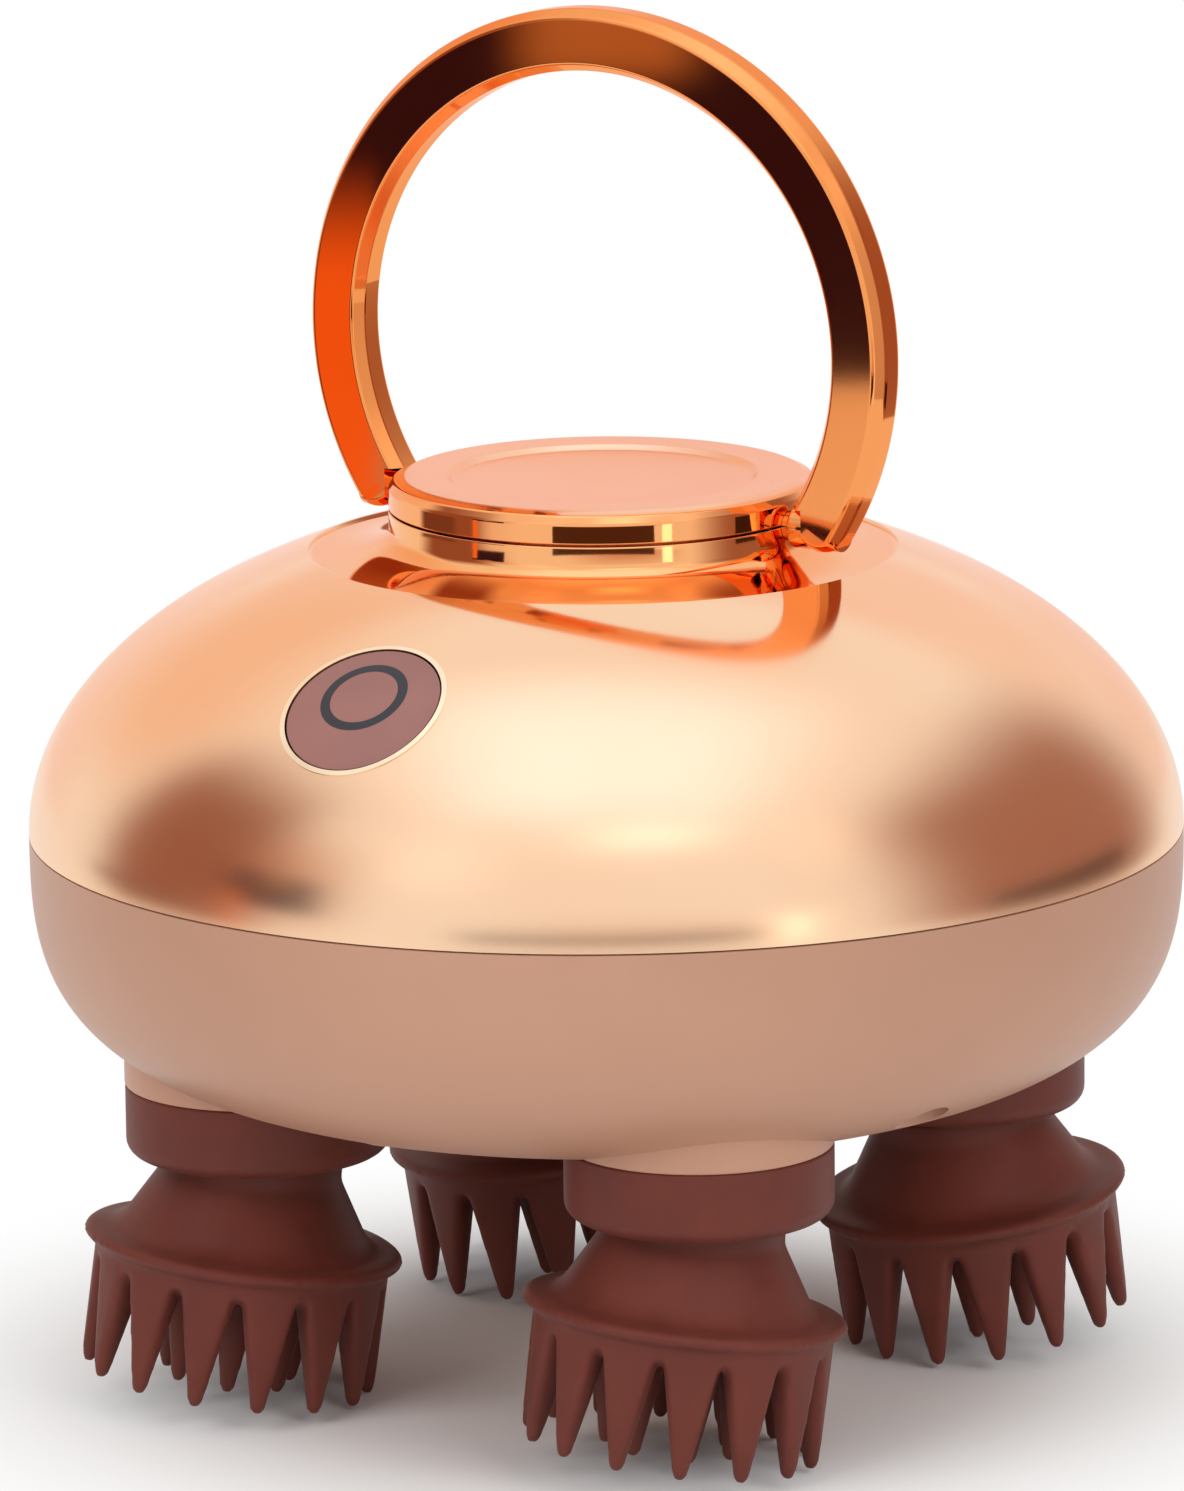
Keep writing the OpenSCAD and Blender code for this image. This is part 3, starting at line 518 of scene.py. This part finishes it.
case_angles, case_post_at = (20, 160, 200, 340), 48.0
posts = combined(moved(disc(post_r, 0.3, 31), *around(case_angles, case_post_at)), "INTERSECT", crown_room())
sleeve = combined(on_button(disc(10.05, -9.8, 4)), "INTERSECT", crown_room())
print("posts and sleeve ready")

# %% Cut the button's hole, the inlet and the pins' seats
port_z, port_w, port_h, port_floor = 6.1, 13.4, 6.8, body_r - 3.6
pocket = bmesh.new()
bmesh.ops.create_cube(pocket, size=1, matrix=Matrix.Translation((0, port_floor + 4, port_z))
                      @ Matrix.Diagonal((port_w, 8, port_h, 1)))
bmesh.ops.bevel(pocket, geom=[e for e in pocket.edges if abs((e.verts[0].co - e.verts[1].co).y) > 1],
                offset=1.2, segments=6, profile=0.5, affect="EDGES", material=-1)
pin_seat = moved(disc(pin_r, -neck_r - 1, neck_r + 1), Matrix.Translation((0, 0, neck_top))
                 @ Matrix.Rotation(math.pi / 2, 4, "Y"))
crown = turned(crown_line, 256, closed=True)
crown = combined(crown, "UNION", posts, sleeve)
crown = combined(crown, "DIFFERENCE", moved(disc(screw_bore_r, -1, 9), *around(case_angles, case_post_at)),
                 on_button(disc(bezel_r, -5.7, 6, 128)), on_button(disc(7.15, -12, 0)), pocket, pin_seat)
crown = piece("crown_shell", crown, "housing", crown_finish, ["upper_shell"])

# %% [markdown]
# ## The bowl
#
# The bowl's outline is squarer than an ellipse: it drops steeply and then runs nearly flat over
# the heads. Four round bosses carry the heads, and each flows into the bowl with a small concave
# cove on its outer side. The hollow inside, the bearing towers and the screw posts are kept, so
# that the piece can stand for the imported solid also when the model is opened.


# %% Outline of the bowl
def bowl_arc(inset, low, steps):
    """Superellipse of the bowl from just under the seam down to the axis."""
    depth = bowl_h - inset
    start = math.asin((low / depth) ** (3.1 / 2))
    angles = [start + (math.pi / 2 - start) * (k / steps) ** 1.3 for k in range(steps + 1)]
    return [((body_r - inset) * max(math.cos(a), 0) ** (2 / 4), -depth * math.sin(a) ** (2 / 3.1))
            for a in angles]


bowl_skin = [(0, -0.3), (body_r - 0.6, -0.3), (body_r - 0.45, 0.04 - seam_half),
             (body_r - 0.12, 0.04 - seam_half)]
bowl = turned(bowl_skin + bowl_arc(0, seam_half, 96), 256)
print("bowl turned, faces:", len(bowl.faces))

# %% Bosses with their coves, and the hollow
cove_top, cove_w, cove_fall = -boss_drop + 4.7, 2.0, 3.0
boss = turned(outline((0, -boss_drop), (boss_r, -boss_drop, 0.3), (boss_r, -16), (0, -16)), 128)
foot = turned([(0, cove_top), (0, cove_top - cove_fall)]
              + [(boss_r + cove_w * (1 - math.cos(math.radians(a))),
                  cove_top - cove_fall * (1 - math.sin(math.radians(a)))) for a in range(0, 91, 6)], 128)
bowl = combined(bowl, "UNION", moved(boss, *at_heads()), moved(foot, *at_heads()))
hollow = turned([(0, 1), (body_r - wall, 1)] + bowl_arc(wall, 0.01, 40), 96)
hollow = combined(hollow, "DIFFERENCE", moved(disc(boss_r, -30, 2 - boss_drop), *at_heads()))
bowl = combined(bowl, "DIFFERENCE", hollow)

# %% Posts, towers and tongue inside, then the seats and bores
room = turned([(0, -0.3)] + [(body_r - 0.6, -0.3)] + bowl_arc(0.6, 0.31, 40), 96)
case_posts = combined(moved(disc(post_r, -26, -0.3), *around(case_angles, case_post_at)), "INTERSECT", room)
towers = turned([(0, -spigot_drop), (spigot_r, -spigot_drop), (spigot_r, -23), (tower_r, -23),
                 (tower_r, tower_top), (0, tower_top)], 64)
tongue = turned([(55.1, -4), (55.1, 2), (53.7, 2), (53.7, -4)], 128, closed=True)
bowl = combined(bowl, "UNION", case_posts, moved(towers, *at_heads()), tongue,
                moved(disc(3.5, -23.5, -8), *around((0, 90, 180, 270), 40)), disc(5, -25.6, -17))
seat = turned([(spigot_r, -boss_drop), (boss_r + 0.15, -boss_drop), (boss_r + 0.15, -29), (spigot_r, -29)],
              96, closed=True)
bore = turned([(0, -30), (5.8, -30), (5.8, -25.6), (4.6, -25.6), (4.6, -17), (0, -17)], 48)
recess = turned([(0, -30), (head_recess_r, -30), (head_recess_r, -7), (screw_bore_r, -7),
                 (screw_bore_r, 1), (0, 1)], 48)
bowl = combined(bowl, "DIFFERENCE", moved(seat, *at_heads()), moved(bore, *at_heads()),
                moved(recess, *around(case_angles, case_post_at)), disc(2.55, -24.4, 0),
                moved(disc(screw_bore_r, -12, 1), *around((0, 90, 180, 270), 40)))
bowl = piece("bowl_shell", bowl, "housing", nude_finish, ["lower_shell"])

# %% [markdown]
# ## Cap, ring handle and button
#
# The cap is a turned disc with a wide dish, pressed into the neck. The ring handle is a bar of
# eight faces bent to an open circle, with rounder edges outside than inside, so that long
# streaks of light run along it. Each end is rounded like a bevelled disc, and a short round lug
# on it takes the pin.

# %% Top cap
cap_line = outline((0, 0.2), (cap_groove_r, 0.2), (cap_groove_r, -cap_foot_drop),
                   (cap_foot_r, -cap_foot_drop), (cap_foot_r, 0.2), (neck_r, 0.2, 0.14), (neck_r, 2.2, 0.6),
                   (neck_r - 0.45, cap_h - 0.45, 0.4), (cap_rim_r - 0.2, cap_h, 0.6),
                   (dish_r + 0.4, cap_h, 0.3), (dish_r - 0.2, cap_h - 0.5, 0.35), (dish_r - 2, cap_h - 0.72))
dish = [((dish_r - 2) * (1 - k / 16), cap_h - 0.72 - (dish_depth - 0.72) * (1 - (1 - k / 16) ** 2))
        for k in range(1, 17)]
cap = turned(cap_line + dish, 256)
seats = moved(disc(pin_r, -neck_r - 1, neck_r + 1), Matrix.Rotation(math.pi / 2, 4, "Y"))
cap = combined(cap, "DIFFERENCE", seats)
cap = moved(cap, Matrix.Translation((0, 0, neck_top)))
piece("top_cap_plated", cap, "housing", cap_finish, ["top_cap"])


# %% Section of the ring's bar
def bar_section():
    """Eight faces with rounded edges, as (out from the bar's middle, along the ring's axis)."""
    f, w, b, side = ring_face / 2, ring_w / 2, ring_bevel, ring_bevel - 0.5
    return outline((-f, w - b, 0.35), (-f, b - w, 0.35), (side - f, -w, 0.35), (f - side, -w, 0.5),
                   (f, b - w, 0.8), (f, w - b, 0.8), (f - side, w, 0.5), (side - f, w, 0.35), closed=True)


# %% Bend the bar to an open circle
ring_middle = ring_r - ring_face / 2
drop_angle = math.asin((ring_rise + lug_r) / ring_middle) + math.radians(2)
ring_z = neck_top + ring_rise
bar = bmesh.new()
corners = [bar.verts.new((ring_middle + out, along, 0)) for out, along in bar_section()]
end_face = bar.faces.new(corners)
bmesh.ops.rotate(bar, verts=corners, cent=(0, 0, 0), matrix=Matrix.Rotation(drop_angle, 3, "Y"))
bmesh.ops.spin(bar, geom=[end_face], cent=(0, 0, 0), axis=(0, -1, 0), dvec=(0, 0, 0),
               angle=math.pi + 2 * drop_angle, steps=168)
bmesh.ops.recalc_face_normals(bar, faces=bar.faces[:])
bmesh.ops.translate(bar, vec=(0, 0, ring_z), verts=bar.verts[:])
print("ring's bar, faces:", len(bar.faces))


# %% Round the ring's two ends
def block(low, high):
    """A plain box from one corner to the other, for cutting."""
    low, high = Vector(low), Vector(high)
    bm = bmesh.new()
    bmesh.ops.create_cube(bm, size=1, matrix=Matrix.Translation((low + high) / 2)
                          @ Matrix.Diagonal((*(high - low), 1)))
    return bm


ring_end_z = neck_top - lug_r + ring_end_r
ring_end_x = math.sqrt(ring_r ** 2 - (ring_z - ring_end_z) ** 2) - ring_end_r
half, flat_r = ring_w / 2, ring_end_r - ring_bevel + 0.5
end_disc = turned(outline((0, -half - 0.01), (flat_r, -half - 0.01, 0.5),
                          (ring_end_r, ring_bevel - half, 0.8), (ring_end_r, half - ring_bevel, 0.8),
                          (flat_r, half + 0.01, 0.5), (0, half + 0.01)), 96)
lying = Matrix.Rotation(math.pi / 2, 4, "X")
end_discs = moved(end_disc, *[Matrix.Translation((x, 0, ring_end_z)) @ lying
                              for x in (ring_end_x, -ring_end_x)])
above = block((-40, -9, ring_end_z), (40, 9, 100))
bar = combined(bar, "INTERSECT", combined(above, "UNION", end_discs))
heel = block((-lug_in - lug_show, -9, neck_top - 8), (lug_in + lug_show, 9, neck_top + lug_r))
bar = combined(bar, "DIFFERENCE", heel)
print("ring's ends rounded, faces:", len(bar.faces))

# %% Add the lugs that the pins go into
sideways = [Matrix.Translation((0, 0, neck_top)) @ Matrix.Rotation(math.radians(a), 4, "Y")
            for a in (90, -90)]
lug = turned(outline((0, lug_in), (lug_r, lug_in, 0.4), (lug_r, 27.4), (0, 27.4)), 64)
bar = combined(bar, "UNION", moved(lug, *sideways))
bar = combined(bar, "DIFFERENCE", block((-lug_in, -9, neck_top - 8), (lug_in, 9, neck_top + 6)),
               moved(disc(1.4, 21, 25), *sideways))
piece("ring_handle_plated", bar, "ring", ring_finish, ["ring_handle"])

# %% [markdown]
# ### Button
#
# The button and its thin bezel follow the crown's curve, as if they were cut from its skin. So
# each starts as a straight turned shape, taller than it has to be, and is trimmed by the crown's
# own outline: the bezel a tenth of a millimetre above it and the button a little under the bezel.

# %% Button cap and its bezel
cap_top_r = bezel_r - bezel_w - button_gap
plunger_end, skirt_r_out = button_skirt + 0.6, bezel_r - 0.15
button = turned(outline((0, -plunger_end), (plunger_r, -plunger_end), (plunger_r, -button_skirt),
                        (skirt_r_out, -button_skirt), (skirt_r_out, -button_stop),
                        (cap_top_r, -button_stop), (cap_top_r, button_top), (0, button_top)), 160)
button = combined(on_button(button), "INTERSECT", crown_room(0.02, 70, 240))
piece("button_cap_printed", button, "button", button_finish, ["button_cap"], 40)
bezel = turned([(bezel_r - bezel_w, -2), (bezel_r, -2), (bezel_r, 2), (bezel_r - bezel_w + 0.12, 2),
                (bezel_r - bezel_w, 1)], 160, closed=True)
bezel = combined(on_button(bezel), "INTERSECT", crown_room(-0.1, 70, 240))
piece("button_bezel_plated", bezel, "housing", trim_finish, ["button_bezel"])

# %% [markdown]
# ## Collars and claws
#
# A silicone collar hugs each boss, and under it hangs a claw: neck, cone, round lip, skirt and
# two circles of tapered tines. Moulded silicone has no sharp inner corners, so the claw is put
# together from turned shapes and then remeshed as one skin, which fillets every root. One claw
# is made and set down at each head with its own lean.

# %% Collars
for name in HEADS:
    collar = turned(outline((spigot_r, -boss_drop - 0.02), (collar_r, -boss_drop - 0.02, 0.25),
                            (collar_r, -collar_drop, 1.6), (mouth_r, -collar_drop, 0.5),
                            (mouth_r, -spigot_drop - 0.9), (mouth_r + 0.4, -spigot_drop),
                            (spigot_r, -spigot_drop), closed=True), 128, closed=True)
    collar = moved(collar, Matrix.Translation(head_at[name]))
    piece("collar_" + name + "_moulded", collar, "housing", silicone_finish,
          ["collar_" + name])

# %% One claw's turned top
claw_top = turned(outline((0, -2.2), (8.85, -2.2, 0.3), (8.85, -4.6, 1.2), (12.2, -10.4, 2.0),
                          (13.3, -11.3, 1.5),
                          (15.6, -11.55, 0.5), (lip_r, -12.2, 0.35), (15.5, -lip_drop, 0.3),
                          (skirt_r, -lip_drop - 0.02, 0.2), (skirt_r, -lip_drop - skirt_h),
                          (0, -lip_drop - skirt_h)), 160)
print("claw's top turned")


# %% Tines
def tine(root_r, length):
    """A long cone with a round tip, hanging from z = 0."""
    turns = [math.radians(a) for a in range(10, 91, 16)]
    round_tip = [(tine_tip_r * math.cos(a), -length - tine_tip_r * math.sin(a)) for a in turns]
    return turned([(0, 0), (root_r, 0)] + round_tip, 40)


root_at, tip_at, tip_len = skirt_r - 1.5, skirt_r - tine_tip_r, claw_reach - tine_tip_r
tine_lean = math.atan((tip_at - root_at) / (tip_len - lip_drop))
outer_places = [m @ Matrix.Translation((0, 0, -lip_drop)) @ Matrix.Rotation(-tine_lean, 4, "Y")
                for m in around([(k + 0.5) * 360 / tine_count for k in range(tine_count)], root_at)]
inner_places = [m @ Matrix.Translation((0, 0, -lip_drop))
                for m in around([k * 360 / inner_tine_count for k in range(inner_tine_count)], 6.3)]
outer_tines = moved(tine(3.1, (tip_len - lip_drop) / math.cos(tine_lean)), *outer_places)
inner_tines = moved(tine(2.8, tip_len - lip_drop), *inner_places)
print("tines:", len(outer_places) + len(inner_places))

# %% Join the claw and remesh it as one moulded skin
round_face = disc(skirt_r, -30, -lip_drop + 0.01, 160)
outer_tines = combined(outer_tines, "INTERSECT", round_face)
claw = combined(claw_top, "UNION", outer_tines, inner_tines)
claw = combined(claw, "DIFFERENCE", disc(5.2, -11.2, 0))
claw_mesh = bpy.data.meshes.new("claw")
claw.to_mesh(claw_mesh)
claw.free()
blank = bpy.data.objects.new("claw", claw_mesh)
bpy.context.scene.collection.objects.link(blank)
remesh = blank.modifiers.new("skin", "REMESH")
remesh.mode = "VOXEL"
remesh.voxel_size = 0.36
remesh.use_smooth_shade = True
soften = blank.modifiers.new("soften", "CORRECTIVE_SMOOTH")
soften.factor = 0.5
soften.iterations = 4
soften.smooth_type = "SIMPLE"
soften.use_only_smooth = True
moulded = bpy.data.meshes.new_from_object(blank.evaluated_get(bpy.context.evaluated_depsgraph_get()))
bpy.data.objects.remove(blank)
print("claw's skin, faces:", len(moulded.polygons))

# %% Set a claw down at each head
for name in HEADS:
    claw = bmesh.new()
    claw.from_mesh(moulded)
    turn_to_lean = Matrix.Rotation(math.radians(lean_to[name]), 4, "Z")
    lean = turn_to_lean @ Matrix.Rotation(math.radians(claw_tilt), 4, "Y")
    hang_at = Matrix.Translation(head_at[name] + Vector((0, 0, -wobble_drop)))
    bmesh.ops.transform(claw, matrix=hang_at @ lean, verts=claw.verts[:])
    piece("claw_" + name + "_moulded", claw, "head_" + name, silicone_finish,
          ["claw_" + name], 180)
bpy.data.meshes.remove(moulded)

# %% [markdown]
# ## Studio
#
# The background is a white sweep: the floor keeps the object's shadow near it and fades to white
# further out. Soft lamps light the object from above and from both sides. A plated shape shows
# what stands round it, so brown cards stand at both sides, out of the camera's sight, as a
# photographer sets them to give chrome its dark edges.


# %% World and floor
scene = bpy.context.scene
scene.view_settings.view_transform = "Standard"
world = bpy.data.worlds.new("white_studio")
scene.world = world
world.use_nodes = True
tree = world.node_tree
tree.nodes.clear()
out = tree.nodes.new("ShaderNodeOutputWorld")
seen, soft = tree.nodes.new("ShaderNodeBackground"), tree.nodes.new("ShaderNodeBackground")
seen.inputs["Color"].default_value = (1, 1, 1, 1)
soft.inputs["Color"].default_value = (1, 0.98, 0.96, 1)
soft.inputs["Strength"].default_value = 0.5
rays = tree.nodes.new("ShaderNodeLightPath")
either = tree.nodes.new("ShaderNodeMath")
either.operation = "MAXIMUM"
all_three = tree.nodes.new("ShaderNodeMath")
all_three.operation = "MAXIMUM"
mix = tree.nodes.new("ShaderNodeMixShader")
tree.links.new(rays.outputs["Is Camera Ray"], either.inputs[0])
tree.links.new(rays.outputs["Is Glossy Ray"], either.inputs[1])
tree.links.new(either.outputs[0], all_three.inputs[0])
tree.links.new(rays.outputs["Is Transmission Ray"], all_three.inputs[1])
tree.links.new(all_three.outputs[0], mix.inputs["Fac"])
tree.links.new(soft.outputs[0], mix.inputs[1])
tree.links.new(seen.outputs[0], mix.inputs[2])
tree.links.new(mix.outputs[0], out.inputs["Surface"])
print("world ready")


# %% The floor keeps the shadow and fades to white
floor_shape = bmesh.new()
bmesh.ops.create_circle(floor_shape, cap_ends=True, segments=96, radius=6)
floor_mesh = bpy.data.meshes.new("studio_floor")
floor_shape.to_mesh(floor_mesh)
floor_shape.free()
floor = bpy.data.objects.new("studio_floor", floor_mesh)
scene.collection.objects.link(floor)
paper = bpy.data.materials.new("white_paper")
paper.use_nodes = True
nodes = paper.node_tree.nodes
paint = nodes["Principled BSDF"]
paint.inputs["Base Color"].default_value = (0.93, 0.93, 0.93, 1)
paint.inputs["Roughness"].default_value = 0.9
paint.inputs["Specular IOR Level"].default_value = 0.0
glow = nodes.new("ShaderNodeEmission")
glow.inputs["Strength"].default_value = 1.0
far = add(paper, "ShaderNodeVectorMath", operation="LENGTH")
wire(paper, add(paper, "ShaderNodeTexCoord").outputs["Object"], far.inputs[0])
fade = spread(paper, far.outputs["Value"], 0.03, 0.09, 0, 1)
rays = add(paper, "ShaderNodeLightPath")
either = add(paper, "ShaderNodeMath", operation="MAXIMUM")
wire(paper, rays.outputs["Is Camera Ray"], either.inputs[0])
wire(paper, rays.outputs["Is Glossy Ray"], either.inputs[1])
both = add(paper, "ShaderNodeMath", operation="MULTIPLY")
wire(paper, either.outputs[0], both.inputs[0])
wire(paper, fade, both.inputs[1])
mix = add(paper, "ShaderNodeMixShader")
wire(paper, both.outputs[0], mix.inputs["Fac"])
wire(paper, paint.outputs[0], mix.inputs[1])
wire(paper, glow.outputs[0], mix.inputs[2])
wire(paper, mix.outputs[0], nodes["Material Output"].inputs["Surface"])
floor_mesh.materials.append(paper)
print("floor ready")

# %% Soft lamps
camera_turn = math.radians(-58.8)


middle = Vector((0, 0, 0.06))
ring_eye = Vector((0, 0, (seam_height + ring_z) * MM))


def studio_place(turn, height, distance, centre=middle):
    """A point round a centre: turn in degrees to the right of the camera, height in degrees."""
    a, e = camera_turn + math.radians(turn), math.radians(height)
    return centre + Vector((math.cos(a) * math.cos(e), math.sin(a) * math.cos(e), math.sin(e))) * distance


def facing(place, target=middle):
    return (place - target).to_track_quat("Z", "Y").to_matrix().to_4x4()


def lamp(name, turn, height, distance, size, watts, colour=(1, 1, 1)):
    light = bpy.data.lights.new(name, "AREA")
    light.shape = "RECTANGLE"
    light.size, light.size_y = size
    light.energy = watts
    light.color = colour
    made = bpy.data.objects.new(name, light)
    scene.collection.objects.link(made)
    place = studio_place(turn, height, distance)
    made.matrix_world = Matrix.Translation(place) @ facing(place)
    made.visible_glossy = False
    return made


lamp("overhead_softbox", 0, 88, 0.9, (0.7, 0.7), 1.7, (1, 0.98, 0.95))
lamp("left_softbox", -48, 34, 1.0, (0.6, 0.6), 2.9)
lamp("right_softbox", 40, 30, 1.1, (0.7, 0.5), 3.2)
print("lamps:", len(bpy.data.lights))


# %% Cards that plated parts reflect
def card(name, turn, height, distance, size, colour, soft=(0.35, 0.35), centre=middle, shift=(0, 0)):
    """A card that shows only in reflections, with soft edges, slid sideways and up by shift."""
    bm = bmesh.new()
    bmesh.ops.create_grid(bm, x_segments=1, y_segments=1, size=0.5)
    uv = bm.loops.layers.uv.new("card")
    for face in bm.faces:
        for loop in face.loops:
            loop[uv].uv = (loop.vert.co.x, loop.vert.co.y)
    bmesh.ops.scale(bm, vec=(size[0], size[1], 1), verts=bm.verts[:])
    bmesh.ops.translate(bm, vec=(shift[0], shift[1], 0), verts=bm.verts[:])
    place = studio_place(turn, height, distance, centre)
    bmesh.ops.transform(bm, matrix=Matrix.Translation(place) @ facing(place, centre), verts=bm.verts[:])
    mesh = bpy.data.meshes.new(name)
    bm.to_mesh(mesh)
    bm.free()
    made = bpy.data.objects.new(name, mesh)
    scene.collection.objects.link(made)
    made.visible_camera = made.visible_diffuse = made.visible_shadow = False
    made.visible_transmission = False
    finish = bpy.data.materials.new(name)
    finish.use_nodes = True
    nodes = finish.node_tree.nodes
    nodes.remove(nodes["Principled BSDF"])
    spot = add(finish, "ShaderNodeUVMap", uv_map="card")
    parts = add(finish, "ShaderNodeSeparateXYZ")
    wire(finish, spot.outputs["UV"], parts.inputs[0])
    edge = []
    for axis, soft_edge in zip("XY", soft):
        size_of = add(finish, "ShaderNodeMath", operation="ABSOLUTE")
        wire(finish, parts.outputs[axis], size_of.inputs[0])
        edge.append(spread(finish, size_of.outputs[0], 0.5 - soft_edge, 0.5, 1, 0))
    both = add(finish, "ShaderNodeMath", operation="MULTIPLY")
    wire(finish, edge[0], both.inputs[0])
    wire(finish, edge[1], both.inputs[1])
    glow = add(finish, "ShaderNodeEmission")
    glow.inputs["Color"].default_value = colour
    clear = add(finish, "ShaderNodeBsdfTransparent")
    mix = add(finish, "ShaderNodeMixShader")
    wire(finish, both.outputs[0], mix.inputs["Fac"])
    wire(finish, clear.outputs[0], mix.inputs[1])
    wire(finish, glow.outputs[0], mix.inputs[2])
    wire(finish, mix.outputs[0], nodes["Material Output"].inputs["Surface"])
    mesh.materials.append(finish)
    return made


low_eye = Vector((0, 0, 0.12))
card("overhead_card", 0, 80, 0.9, (1.2, 1.2), (1.42, 1.45, 1.65, 1), (0.35, 0.35))
card("back_high_card", 180, 32, 0.85, (2.0, 0.6), (0.98, 0.8, 0.74, 1), (0.3, 0.3))
card("back_low_card", 180, 4, 0.8, (2.0, 0.5), (0.98, 0.79, 0.74, 1), (0.3, 0.3))
card("left_brown_card", -87, 0, 0.3, (0.32, 0.7), (0.32, 0.13, 0.085, 1), (0.3, 0.35), low_eye)
card("right_brown_card", 92, 0, 0.28, (0.62, 0.62), (0.38, 0.185, 0.14, 1), (0.34, 0.35), low_eye)
card("left_bright_card", -36, 32, 0.8, (0.4, 0.6), (1.2, 1.16, 1.14, 1), (0.45, 0.45))
card("right_bright_card", 50, 36, 0.8, (0.35, 0.6), (1.2, 1.16, 1.14, 1), (0.45, 0.45))
card("top_bright_card", 10, 47, 0.8, (0.5, 0.26), (1.7, 1.75, 1.8, 1), (0.45, 0.45))
card("low_front_card", 12, -7, 0.5, (0.75, 0.22), (0.7, 0.46, 0.4, 1), (0.45, 0.45))
print("broad cards ready")

# %% Small cards for the ring and for the cap's side
card("ring_dark_card", -62.4, -9.9, 0.26, (0.09, 0.07), (0.035, 0.013, 0.03, 1), (0.02, 0.02),
     ring_eye, (0.003, 0.029))
card("ring_brown_card", -62.4, -9.9, 0.255, (0.03, 0.03), (0.47, 0.25, 0.13, 1), (0.3, 0.2),
     ring_eye, (0.004, 0.045))
card("ring_red_card", -62.4, -9.9, 0.25, (0.015, 0.09), (0.97, 0.25, 0.045, 1), (0.15, 0.2),
     ring_eye, (-0.031, -0.02))
card("left_haze_card", -66, 4, 0.34, (0.3, 0.34), (0.66, 0.4, 0.3, 1), (0.45, 0.45), low_eye)
card("left_peach_card", -140, 32, 0.7, (0.9, 0.7), (0.97, 0.7, 0.54, 1), (0.45, 0.45))
card("ring_streak_card", 33, -11, 0.3, (0.03, 0.08), (2.2, 2.2, 2.0, 1), (0.1, 0.2), ring_eye)
wall_eye = Vector((0, 0, 0.036))
card("cap_front_card", 0, 0, 0.3, (0.3, 0.026), (0.08, 0.035, 0.02, 1), (0.01, 0.04), wall_eye)
card("cap_left_card", -97, 0, 0.27, (0.16, 0.016), (0.2, 0.08, 0.05, 1), (0.2, 0.2), wall_eye)
card("cap_right_card", 92, 0, 0.25, (0.18, 0.028), (0.05, 0.02, 0.01, 1), (0.01, 0.04), wall_eye)
print("cards ready")

# %% [markdown]
# ## Camera
#
# The picture was taken from about 12 degrees above the seam with a long lens, with the button
# turned 31 degrees to the left. The lens and the place below were fitted to the seam, the neck,
# the collars and the lips.

# %% Camera
lens_data = bpy.data.cameras.new("camera")
lens_data.lens = 242.5
lens_data.sensor_width = 36
lens_data.clip_end = 20
camera = bpy.data.objects.new("camera", lens_data)
scene.collection.objects.link(camera)
aim = Vector((-0.001146, -0.000694, (seam_height + 7.75) * MM))
tilt, turn, roll = math.radians(12.25), math.radians(31.2), math.radians(-0.63)
toward = Vector((math.sin(turn) * math.cos(tilt), -math.cos(turn) * math.cos(tilt), math.sin(tilt)))
camera.matrix_world = (Matrix.Translation(aim + toward) @ toward.to_track_quat("Z", "Y").to_matrix().to_4x4()
                       @ Matrix.Rotation(roll, 4, "Z"))
scene.camera = camera
print("camera at", [round(v, 3) for v in camera.matrix_world.translation])
